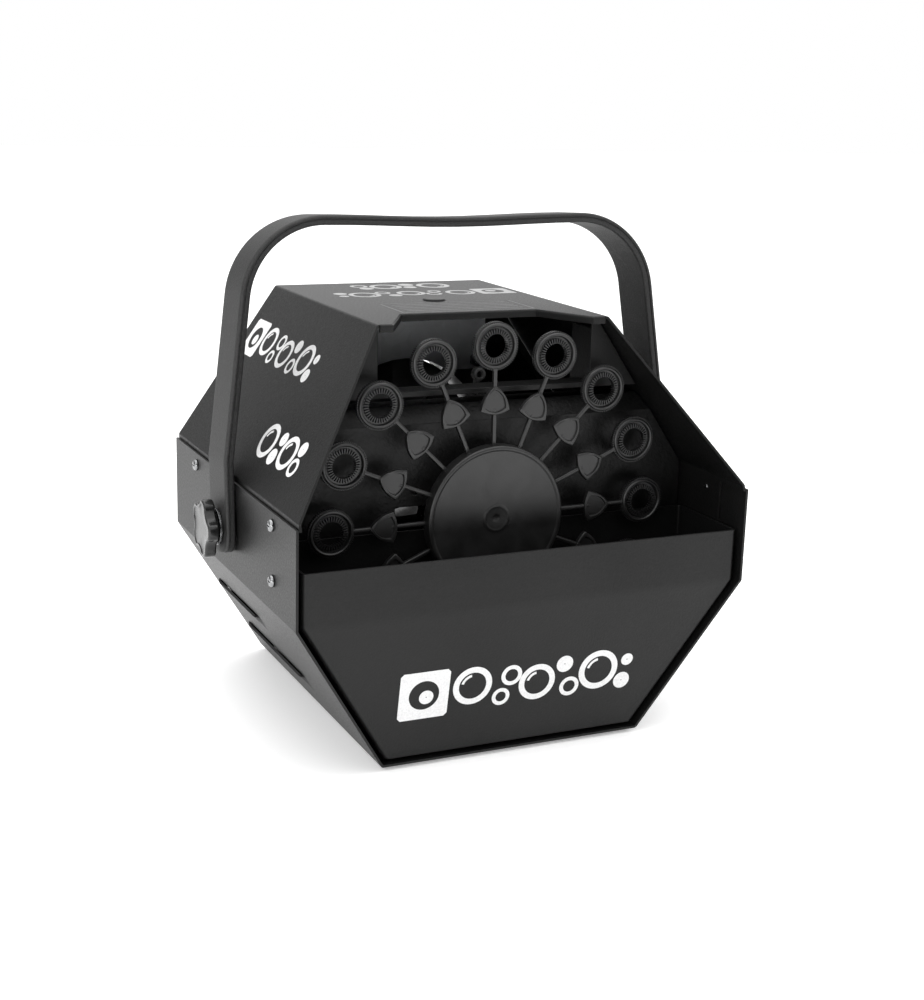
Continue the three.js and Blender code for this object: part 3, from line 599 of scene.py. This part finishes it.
# A level of the tank: its outline at height z, `inset` inside the outer skin.
def tankLevel(y, z, inset):
    stretch = math.hypot(1, lowSlope)
    slanted = body["base"] + (z - body["baseZ"]) * lowSlope - (tank["gap"] + inset) * stretch
    half = min(tank["half"] - inset, slanted)
    radius = tank["corner"] - inset
    front, rear = y + inset, tank["rearY"] - inset
    corners = [(0, front), (half, front), (half, rear), (-half, rear), (-half, front), (0, front)]
    return [Vector((p.x, p.y, z)) for p in rounded(corners, max(0.6, radius), 4)[:-1]]


def fluidTank():
    floorZ, crease, rimZ, wall = tank["floorZ"], body["lowCrease"], tank["rimZ"], tank["wall"]
    lean = body["baseRake"] / (crease - body["baseZ"])
    foot = tank["frontY"] + lean * (crease - floorZ)
    front = rounded([(foot, floorZ), (tank["frontY"], crease), (tank["frontY"], rimZ)], tank["crease"], 6)
    outer = [tankLevel(p.x, p.y, 0) for p in front]
    inner = [tankLevel(p.x, p.y, wall) for p in reversed(front[1:])]
    inner.append(tankLevel(foot - lean * wall, floorZ + wall, wall))
    levels = outer + inner
    count = len(levels[0])
    faces = [tuple(reversed(face)) for face in gridFaces(len(levels), count, around=True)]
    faces.append(tuple(range(count))[::-1])
    faces.append(tuple((len(levels) - 1) * count + k for k in range(count)))
    points = [p for level in levels for p in level]
    piece = newPiece("fluidTankTub", points, faces, steel, "chassis", "powder_coat", ["fluid_tank"])
    half, rear = tank["axleHalf"], tank["rearY"]
    cut(piece, boxMesh((-half, rear - wall - 1, tank["axleZ"]), (half, rear + 1, rimZ + 5)))
    soften(piece, 0.25, 2, 40)


# Takes a closed mesh away from a piece.
def cut(piece, mesh):
    cutter = bpy.data.objects.new("cutter", bpy.data.meshes.new("cutter"))
    cutter.data.from_pydata([p * mm for p in mesh[0]], [], mesh[1])
    bpy.context.scene.collection.objects.link(cutter)
    modifier = addModifier(piece, "BOOLEAN", operation="DIFFERENCE", solver="EXACT", object=cutter)
    bpy.context.view_layer.update()
    evaluated = piece.evaluated_get(bpy.context.evaluated_depsgraph_get())
    piece.data = bpy.data.meshes.new_from_object(evaluated)
    piece.modifiers.remove(modifier)
    bpy.data.objects.remove(cutter)


lowerShell()
upperCover()
fluidTank()
seamShadeStrip()
finishNode("rear_panel", steel, 0.3)
finishNode("fan_baffle", steel, 0.3)
finishNode("motor_plate", plateSteel, 0.3)
print("the body's sheets are bent")


# ---- the wand wheel

wheelLow, wheelHigh = boxOf("bubble_wheel")
wheel = {
    "z": (wheelLow.z + wheelHigh.z) / 2, "frontY": wheelLow.y, "wands": 16, "phase": -0.9, "setBack": 3.3,
    "ringAt": 82.4, "hub": 35.4, "hubDepth": 6.6, "boss": 8, "bossDepth": 11.6, "arm": 2.0,
}
ring = {"hole": 5.8, "comb": 8.1, "floor": 7.6, "ridgeIn": 9.1, "ridgeOut": 10.9, "outer": 11.5, "depth": 3.6}
petal = {"base": 51.8, "apex": 63.6, "width": 14.8, "bulge": (2.0, 1.7, 1.7), "rim": 1.15, "recess": 0.9}


# A petal's outline, `inset` inside its edge: three bulging sides, the point away from the hub.
def petalOutline(inset):
    half = petal["width"] / 2 - inset * 1.75
    low, high = petal["base"] + inset * 0.9, petal["apex"] - inset * 1.5
    corners = [Vector((-half, low)), Vector((half, low)), Vector((0, high))]
    outline = []
    for k, bulge in enumerate(petal["bulge"]):
        start, end = corners[k], corners[(k + 1) % 3]
        side = end - start
        outward = Vector((side.y, -side.x)).normalized()
        for step in range(8):
            share = step / 8
            outline.append(start + side * share + outward * (bulge * 4 * share * (1 - share)))
    return outline


# A wand lies along +Z with its front at y = 0 and its back behind.
def petalMesh():
    rim = petal["rim"]
    levels = [(0, 2.4), (0, 0.35), (0.3, 0), (rim, 0), (rim + 0.25, petal["recess"])]
    points = [Vector((p.x, y, p.y)) for inset, y in levels for p in petalOutline(inset)]
    count = len(points) // len(levels)
    faces = gridFaces(len(levels), count, around=True)
    faces.append(tuple(range(count)))
    faces.append(tuple((len(levels) - 1) * count + k for k in range(count))[::-1])
    return points, faces


def barMesh(width, fromZ, toZ, front, back, edge=0.4):
    half = width / 2
    outline = [(-half, back), (half, back), (half, front + edge), (half - edge, front)]
    outline += [(edge - half, front), (-half, front + edge)]
    points = [Vector((x, y, z)) for z in (fromZ, toZ) for x, y in outline]
    faces = [tuple(reversed(face)) for face in gridFaces(2, len(outline), around=True)]
    count = len(outline)
    faces += [tuple(range(count))[::-1], tuple(range(count, 2 * count))]
    return points, faces


# A closed ring about +Y, from its section of (radius, y).
def hoopMesh(section, steps=48):
    points, faces, count = [], [], len(section)
    for step in range(steps):
        angle = 2 * math.pi * step / steps
        points += [Vector((r * math.cos(angle), y, r * math.sin(angle))) for r, y in section]
        here, there = step * count, (step + 1) % steps * count
        for k in range(count):
            after = (k + 1) % count
            faces.append((here + after, there + after, there + k, here + k))
    return points, faces


# A ring carries a comb of thin ribs inside its round ridge, and a fine knurl outside it.
def ringMesh():
    low, high, depth = ring["ridgeIn"], ring["ridgeOut"], ring["depth"]
    ridge = [
        (low, depth), (low, 0.8), (low + 0.3, 0.25), (low + 0.7, 0),
        (high - 0.7, 0), (high - 0.3, 0.25), (high, 0.8), (high, depth),
    ]
    floor = [(ring["floor"], 3.2), (ring["floor"], 1.9), (low + 0.2, 1.9), (low + 0.2, 3.2)]
    parts = [hoopMesh(ridge), hoopMesh(floor)]
    # Each comb: how many ribs, their inner and outer radius, their width, and their front.
    combs = [(36, ring["hole"], ring["comb"], 0.5, 0.4), (64, high - 0.2, ring["outer"], 0.6, 0.9)]
    for count, inner, outer, width, front in combs:
        rib = boxMesh((inner, front, -width / 2), (outer, depth - 0.3, width / 2))
        for k in range(count):
            turn = Matrix.Rotation(2 * math.pi * k / count, 3, "Y")
            parts.append(([turn @ p for p in rib[0]], rib[1]))
    points, faces = joined(parts)
    return [p + Vector((0, 0, wheel["ringAt"])) for p in points], faces


def bubbleWheel():
    hub, deep, boss, bossDeep = wheel["hub"], wheel["hubDepth"], wheel["boss"], wheel["bossDepth"]
    dish = [
        (0, 0.9), (1.6, 0.9), (2.3, 0.35), (4.9, 0.35), (5.5, 0.05), (6.1, 0), (6.8, 0.12), (7.4, 0.5),
        (20, 0.62), (hub - 2.9, 0.55), (hub - 2.4, 0.35), (hub - 1.9, 0.05), (hub - 1.2, 0),
        (hub - 0.5, 0.2), (hub, 0.8), (hub, deep - 0.2), (hub - 0.3, deep), (hub - 1.8, deep),
        (hub - 2, 3.2), (boss + 1.6, 3),
    ]
    back = [(boss, 3.4), (boss, bossDeep - 0.3), (boss - 0.3, bossDeep), (0, bossDeep)]
    disc = along(latheMesh(dish + back, 128), (0, 1, 0), (0, 0, 0))
    innerEnd, ringEnd = hub - 1, wheel["ringAt"] - ring["ridgeOut"] + 0.5
    wand = joined([
        petalMesh(), ringMesh(),
        barMesh(wheel["arm"], innerEnd, petal["base"] + 0.5, 0.7, 2.6),
        barMesh(wheel["arm"], petal["apex"] - 1, ringEnd, 0.7, 2.6),
    ])
    parts = [disc]
    for k in range(wheel["wands"]):
        turn = Matrix.Rotation(math.radians(wheel["phase"] + 360 * k / wheel["wands"]), 3, "Y")
        parts.append(([turn @ p + Vector((0, wheel["setBack"], 0)) for p in wand[0]], wand[1]))
    points, faces = joined(parts)
    points = [p + Vector((0, wheel["frontY"], wheel["z"])) for p in points]
    piece = newPiece(
        "bubbleWandWheel", points, faces, polystyrene, "wheel", "wheel_plastic", ["bubble_wheel"])
    addModifier(piece, "EDGE_SPLIT", split_angle=math.radians(50))
    addModifier(piece, "WEIGHTED_NORMAL")


# ---- the fan's impeller: wide twisted blades round a domed hub

# Each blade starts 360 / 7 degrees after the last one, and covers 44 degrees with a 5 degree sweep.
impeller = {
    "z": 124, "front": 64.5, "rear": 83.0, "hub": 19, "tip": 42.4, "blades": 7, "cover": 44, "first": -4,
    "sweep": 5, "thick": 1.3,
}


def fanImpeller():
    hub, front, rear = impeller["hub"], impeller["front"], impeller["rear"]
    deep = rear - front
    dome = [(0, 0), (hub - 3, 0), (hub - 1, 0.5), (hub, 1.8), (hub, deep - 1.2), (hub - 1, deep), (0, deep)]
    parts = [along(latheMesh(dome, 64), (0, 1, 0), (0, front, 0))]
    rows, columns = 7, 9
    for blade in range(impeller["blades"]):
        start = impeller["first"] + blade * 360 / impeller["blades"]
        skins = [[], []]
        for i in range(rows):
            radius = hub - 0.5 + (impeller["tip"] - hub + 0.5) * i / (rows - 1)
            sweep = impeller["sweep"] * i / (rows - 1)
            for j in range(columns):
                share = j / (columns - 1)
                angle = math.radians(start + sweep + impeller["cover"] * share)
                y = front + 1 + (deep - 3.6) * (1 - share - 0.12 * math.sin(math.pi * share))
                for skin, shift in zip(skins, (0, impeller["thick"])):
                    skin.append(Vector((radius * math.sin(angle), y + shift, radius * math.cos(angle))))
        faces = gridFaces(rows, columns)
        back = [tuple(k + rows * columns for k in face[::-1]) for face in faces]
        edge = list(range(columns)) + [i * columns + columns - 1 for i in range(1, rows)]
        edge += [(rows - 1) * columns + j for j in range(columns - 2, -1, -1)]
        edge += [i * columns for i in range(rows - 2, 0, -1)]
        rim = [(a, b, b + rows * columns, a + rows * columns) for a, b in zip(edge, edge[1:] + edge[:1])]
        parts.append((skins[0] + skins[1], faces + back + rim))
    points, faces = joined(parts)
    points = [p + Vector((0, 0, impeller["z"])) for p in points]
    piece = newPiece("fanBlades", points, faces, mattAbs, "impeller", "black_plastic", ["fan_impeller"])
    addModifier(piece, "EDGE_SPLIT", split_angle=math.radians(50))
    addModifier(piece, "WEIGHTED_NORMAL")


bubbleWheel()
fanImpeller()
print("the wheel and the fan are moulded")


# ---- the handle

handle = {
    "pivot": (0, 1, 101), "leanBack": 4, "half": 120.6, "crownHalf": 105.6, "straight": 33, "below": 12,
    "rise": 146.8, "corner": 42.4, "footRound": 9, "sag": 1.6,
}
# Half of the strip's section: (depth from the outer face, distance from its middle). A groove
# runs along the edge, between the outer band and the slightly narrower inner one.
stripSection = [
    (0, 11.5), (0.05, 12.7), (0.3, 13.4), (0.75, 13.85), (1.3, 14), (1.7, 13.9), (1.95, 13.4),
    (2.3, 13.4), (2.5, 13.75), (3.9, 13.75), (4.4, 13.55), (4.7, 13.1), (4.8, 12.4),
]


# How far the leg's outer face is from the middle, at a height above the pivot.
def legAt(z):
    slope = (handle["half"] - handle["crownHalf"]) / (handle["rise"] - handle["straight"])
    return handle["half"] - slope * max(0, z - handle["straight"])


# The outer line of the handle, from the right leg's foot to the left one's, with its inward directions.
def handleLine():
    half, straight, radius, top = handle["half"], handle["straight"], handle["corner"], handle["rise"]
    lean = math.atan((half - handle["crownHalf"]) / (top - straight))
    centreZ = top - radius
    centreX = legAt(centreZ + radius * math.sin(lean)) - radius * math.cos(lean)
    footRises = (0, 0.25, 0.9, 2, 3.6, 6, 9, 20)
    line = [(Vector((half, up - handle["below"])), Vector((-1, 0))) for up in footRises]
    line.append((Vector((half, straight - 4)), Vector((-1, 0))))
    line.append((Vector((half, straight)), Vector((-math.cos(lean / 2), -math.sin(lean / 2)))))
    for z in (straight + 4, 60, 90):
        line.append((Vector((legAt(z), z)), Vector((-math.cos(lean), -math.sin(lean)))))
    cornerSteps = 24
    for step in range(cornerSteps + 1):
        angle = lean + (math.pi / 2 - lean) * step / cornerSteps
        out = Vector((math.cos(angle), math.sin(angle)))
        line.append((Vector((centreX, centreZ)) + out * radius, -out))
    for share in (0.8, 0.6, 0.4, 0.2, 0):
        sag = handle["sag"] * math.cos(share * math.pi / 2) ** 2
        line.append((Vector((centreX * share, top - sag)), Vector((0, -1))))
    return line + [(Vector((-p.x, p.y)), Vector((-n.x, n.y))) for p, n in reversed(line[:-1])]


def carryHandle():
    roundness = handle["footRound"]
    section = stripSection + [(depth, -w) for depth, w in reversed(stripSection)]
    lean = Matrix.Rotation(-math.radians(handle["leanBack"]), 3, "X")
    line = handleLine()
    points = []
    for at, inward in line:
        up = at.y + handle["below"]
        short = max(0, roundness - up)
        narrow = roundness - math.sqrt(roundness ** 2 - short ** 2)
        for depth, w in section:
            place = at + inward * depth
            across = math.copysign(max(0.1, abs(w) - narrow), w)
            points.append(lean @ Vector((place.x, across, place.y)) + Vector(handle["pivot"]))
    count = len(section)
    faces = gridFaces(len(line), count, around=True)
    faces += [tuple(range(count)), tuple((len(line) - 1) * count + k for k in range(count))[::-1]]
    piece = newPiece(
        "carryHandleStrip", points, faces, sandyPlastic, "handle", "textured_plastic", ["carry_handle"])
    addModifier(piece, "EDGE_SPLIT", split_angle=math.radians(40))
    addModifier(piece, "WEIGHTED_NORMAL")


# ---- the star knobs

knob = {
    "radius": 14.5, "lobes": 5, "phase": 15, "lobeDepth": 3, "depth": 5.5, "neckDepth": 1.8, "inner": 122.2,
}


# A point of the star: (y, z) about the stud.
def starPoint(angle, inset):
    wave = math.cos(knob["lobes"] * (angle - math.radians(90 + knob["phase"])))
    dip = knob["lobeDepth"] * (0.5 - 0.5 * math.copysign(abs(wave) ** 0.6, wave))
    radius = knob["radius"] - dip - inset
    return radius * math.cos(angle), radius * math.sin(angle)


def starKnob(side):
    name = "right" if side > 0 else "left"
    start = knob["neckDepth"] - 0.2
    deep = knob["depth"]
    # Each layer of the head: how far inside the star's edge, and how far out along the stud.
    layers = [
        (7, 0.2), (0.9, 0), (0.25, 0.35), (0, 1), (0, deep - 1.1), (0.15, deep - 0.6), (0.5, deep - 0.2),
        (1, deep), (1.6, deep), (2, deep - 0.25), (2.5, deep - 0.5), (7, deep - 0.7),
    ]
    steps = 96
    points = []
    for inset, up in layers:
        for step in range(steps):
            y, z = starPoint(2 * math.pi * step / steps, inset)
            points.append(Vector((-side * z, y, start + up)))
    faces = gridFaces(len(layers), steps, around=True)
    faces += [tuple(range(steps)), tuple((len(layers) - 1) * steps + k for k in range(steps))[::-1]]
    if side > 0:
        faces = [face[::-1] for face in faces]
    neck = latheMesh([(0, 0), (7.7, 0), (8, 0.3), (8, knob["neckDepth"]), (0, knob["neckDepth"])], 48)
    stud = latheMesh([(0, -20), (2.7, -20), (3, -19.6), (3, 0.5), (0, 0.5)], 24)
    pivot = Vector((side * knob["inner"], handle["pivot"][1], handle["pivot"][2]))
    points, faces = along(joined([(points, faces), neck, stud]), (side, 0, 0), pivot)
    replaced = [f"star_knob_{name}"]
    piece = newPiece(
        f"starKnobGrip_{name}", points, faces, glossAbs, f"knob_{name}", "black_plastic", replaced)
    addModifier(piece, "EDGE_SPLIT", split_angle=math.radians(50))
    addModifier(piece, "WEIGHTED_NORMAL")


carryHandle()
starKnob(1)
starKnob(-1)
print("the handle and its knobs are moulded")


# ---- screws

panHead = {
    "radius": 2.9, "rise": 1.9, "shank": 1.5, "cross": 0.55, "crossSpan": 1.75, "crossDepth": 1.1,
}


# A pan-head screw with a cross recess. Its head stands on the face at `at`; `out` points away from it.
def panScrew(name, node, at, out, scale=1.0, length=3.2):
    r, h, shank = panHead["radius"] * scale, panHead["rise"] * scale, panHead["shank"] * scale
    profile = [
        (0, -length), (shank * 0.8, -length), (shank, -length + 0.5), (shank, 0), (r - 0.15, 0), (r, 0.2),
        (r * 0.985, h * 0.35), (r * 0.9, h * 0.66), (r * 0.7, h * 0.88), (r * 0.4, h * 0.98), (0, h),
    ]
    screw = along(latheMesh(profile, 32), out, at)
    piece = newPiece(name, *screw, zinc, "chassis", "zinc_steel", [node])
    span, slot = panHead["crossSpan"] * scale, panHead["cross"] * scale / 2
    deep = panHead["crossDepth"] * scale
    for wide, tall in ((span, slot), (slot, span)):
        cut(piece, along(boxMesh((-wide, -tall, h - deep), (wide, tall, h + 1)), out, at))
    soften(piece, 0.08, 2, 40)


sideScrews = {"rear_upper": (57, 118), "front_upper": (-64, 118), "front_lower": (-65, 92.5)}
for where, (y, z) in sideScrews.items():
    for side, hand in ((1, "right"), (-1, "left")):
        node = f"cover_screw_{where}_{hand}"
        panScrew(f"sideScrew_{where}_{hand}", node, (side * (body["waist"] + 0.1), y, z), (side, 0, 0))
for number in range(1, 5):
    low, high = boxOf(f"fan_screw_{number}")
    middle = (low + high) / 2
    at = (middle.x, high.y - 2.2, middle.z)
    panScrew(f"guardScrew_{number}", f"fan_screw_{number}", at, (0, 1, 0), 1.17, 34)
for number in range(1, 3):
    low, high = boxOf(f"base_screw_{number}")
    middle = (low + high) / 2
    at = (middle.x, middle.y, low.z + 1.5)
    panScrew(f"bottomScrew_{number}", f"base_screw_{number}", at, (0, 0, -1), 0.78, 5.8)
print("the screws are in")


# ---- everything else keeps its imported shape, with rounded edges

plain = [
    (mattAbs, 0.3, [
        "fan_frame", "power_inlet", "switch_frame", "fuse_holder", "top_plug", "cable_clip",
        "handle_spacer_right", "handle_spacer_left",
    ]),
    (glossAbs, 0.4, ["switch_rocker", "fuse_cap"]),
    (zinc, 0.15, [
        "motor_bracket", "gear_motor", "motor_shaft", "axle_collar", "fan_guard", "fan_nut_1", "fan_nut_2",
        "knob_washer_right", "knob_washer_left", "pivot_nut_right", "pivot_nut_left",
    ]),
    (galvanised, 0.2, ["fan_strap"]),
    (pvc, 0.1, ["motor_lead", "fan_lead"]),
    (rubber, 0.3, [f"rubber_foot_{n}" for n in range(1, 5)]),
]
for material, width, names in plain:
    for name in names:
        finishNode(name, material, width)


# ---- the printing: plain bubbles, rings with a glint

# The places on the sides are (y, z, scale), and those on the top are (x, y, scale).
printing = {
    "film": 0.05, "under": 0.04, "frontZ": 37, "sideUpper": (37, 178.5, 0.82), "sideLower": (-34, 145, 0.95),
    "topRear": (4, 78, 0.95), "topFront": (6, 50, 0.8), "label": (70, 30),
}
# A row reads from the left: (x, y, radius) in a band 25 high, with a solid tile at its left end.
tile = (-49.5, 0, 25, 25)
bubbleRow = [
    (-25, 1.6, 10), (-9.5, -6.6, 4.6), (-5, 4.4, 5.4), (9, -1.2, 9.6), (23, 6.6, 4.4), (27, -6.2, 5.2),
    (42, 0.8, 10.6), (56, -7, 4.4), (57.5, 4.4, 3.2),
]
smallRow = [(-20, 0, 9.6), (-5.5, -5.6, 4.4), (-4, 4.6, 3.8), (9, 0, 9.2), (22.5, 5.4, 4), (23.5, -4.4, 5)]


# A flat arc, or a whole ring, `film` thick.
def arcMesh(x, y, outer, inner, fromAngle=0, toAngle=360, steps=48):
    whole = toAngle - fromAngle == 360
    low, high = -printing["under"], printing["film"]
    points = []
    count = steps if whole else steps + 1
    for step in range(count):
        angle = math.radians(fromAngle + (toAngle - fromAngle) * step / steps)
        c, s = math.cos(angle), math.sin(angle)
        for radius, z in ((inner, low), (outer, low), (outer, high), (inner, high)):
            points.append(Vector((x + radius * c, y + radius * s, z)))
    faces = []
    for step in range(count if whole else count - 1):
        here, there = step * 4, (step + 1) % count * 4
        for k in range(4):
            faces.append((here + k, here + (k + 1) % 4, there + (k + 1) % 4, there + k))
    if not whole:
        faces += [(0, 3, 2, 1), tuple(4 * (count - 1) + k for k in range(4))]
    return points, faces


def barPrint(x, y, width, height):
    low = (x - width / 2, y - height / 2, -printing["under"])
    return boxMesh(low, (x + width / 2, y + height / 2, printing["film"]))


# A bubble is a bold ring with a glint, and a small one is a solid dot.
def bubble(x, y, radius):
    if radius < 4.5:
        return [arcMesh(x, y, radius, 0.3)]
    line = 0.2 * radius + 1
    parts = [arcMesh(x, y, radius, radius - line)]
    if radius > 7:
        glint = radius - line - 0.9
        parts.append(arcMesh(x, y, glint, glint - 1.3, 100, 165, 12))
    return parts


# The tile is solid but for a round window with a dot in it.
def tilePrint(x, y, width, height):
    window = 7.6
    half, steps = width / 2, 48
    inner, outer = [], []
    for step in range(steps):
        angle = 2 * math.pi * (step + 0.5) / steps
        c, s = math.cos(angle), math.sin(angle)
        reach = half / max(abs(c), abs(s))
        inner.append((x + window * c, y + window * s))
        outer.append((x + reach * c, y + reach * s * height / width))
    points, faces = [], []
    for (innerX, innerY), (outerX, outerY) in zip(inner, outer):
        low, high = -printing["under"], printing["film"]
        points += [Vector((innerX, innerY, low)), Vector((outerX, outerY, low))]
        points += [Vector((outerX, outerY, high)), Vector((innerX, innerY, high))]
    for step in range(steps):
        here, there = step * 4, (step + 1) % steps * 4
        faces += [(here + k, here + (k + 1) % 4, there + (k + 1) % 4, there + k) for k in range(4)]
    return [(points, faces), arcMesh(x + 1.2, y - 1.2, 3.6, 0.3)]


# Lays a printed drawing on a flat face: `at` is its middle, `across` and `up` its two directions.
def printOn(name, parts, at, across, up, ink, scale=1.0):
    across, up = Vector(across).normalized(), Vector(up).normalized()
    out = across.cross(up)
    points, faces = joined(parts)
    points = [Vector(at) + across * (p.x * scale) + up * (p.y * scale) + out * p.z for p in points]
    newPiece(name, points, faces, ink, "chassis", None, smooth=False)


def allPrints():
    row = tilePrint(*tile) + [part for spot in bubbleRow for part in bubble(*spot)]
    short = [part for spot in smallRow for part in bubble(*spot)]
    lean = body["baseRake"] / (body["lowCrease"] - body["baseZ"])
    z = printing["frontZ"]
    front = (0, tank["frontY"] + lean * (body["lowCrease"] - z), z)
    printOn("frontPrint", row, front, (1, 0, 0), (0, -lean, 1), whiteInk)
    for side, hand in ((1, "right"), (-1, "left")):
        slant = Vector((-side * highSlope, 0, 1))
        for label, parts, place in (
                ("upper", row, printing["sideUpper"]), ("lower", short, printing["sideLower"])):
            y, z, size = place
            x = side * (body["top"] + (body["topZ"] - z) * highSlope)
            printOn(f"sidePrint_{label}_{hand}", parts, (x, y, z), (0, side, 0), slant, whiteInk, size)
    for label, parts, place in (("rear", short, printing["topRear"]), ("front", row, printing["topFront"])):
        x, y, size = place
        at = (x, y, body["topZ"])
        printOn(f"topPrint_{label}", parts, at, (-1, 0, 0), (0, -1, 0), paleInk, size)
    width, height = printing["label"]
    label = [barPrint(0, y, width, 0.8) for y in (-height / 2, height / 2)]
    label += [barPrint(x, 0, 0.8, height) for x in (-width / 2, width / 2)]
    label += [barPrint(0, y, width - 8, 1.2) for y in (-10, -5, 0, 5, 10)]
    printOn("topPrint_label", label, (2, 0, body["topZ"]), (-1, 0, 0), (0, -1, 0), greyInk)


allPrints()
print("the printing is dry")

bpy.context.view_layer.update()
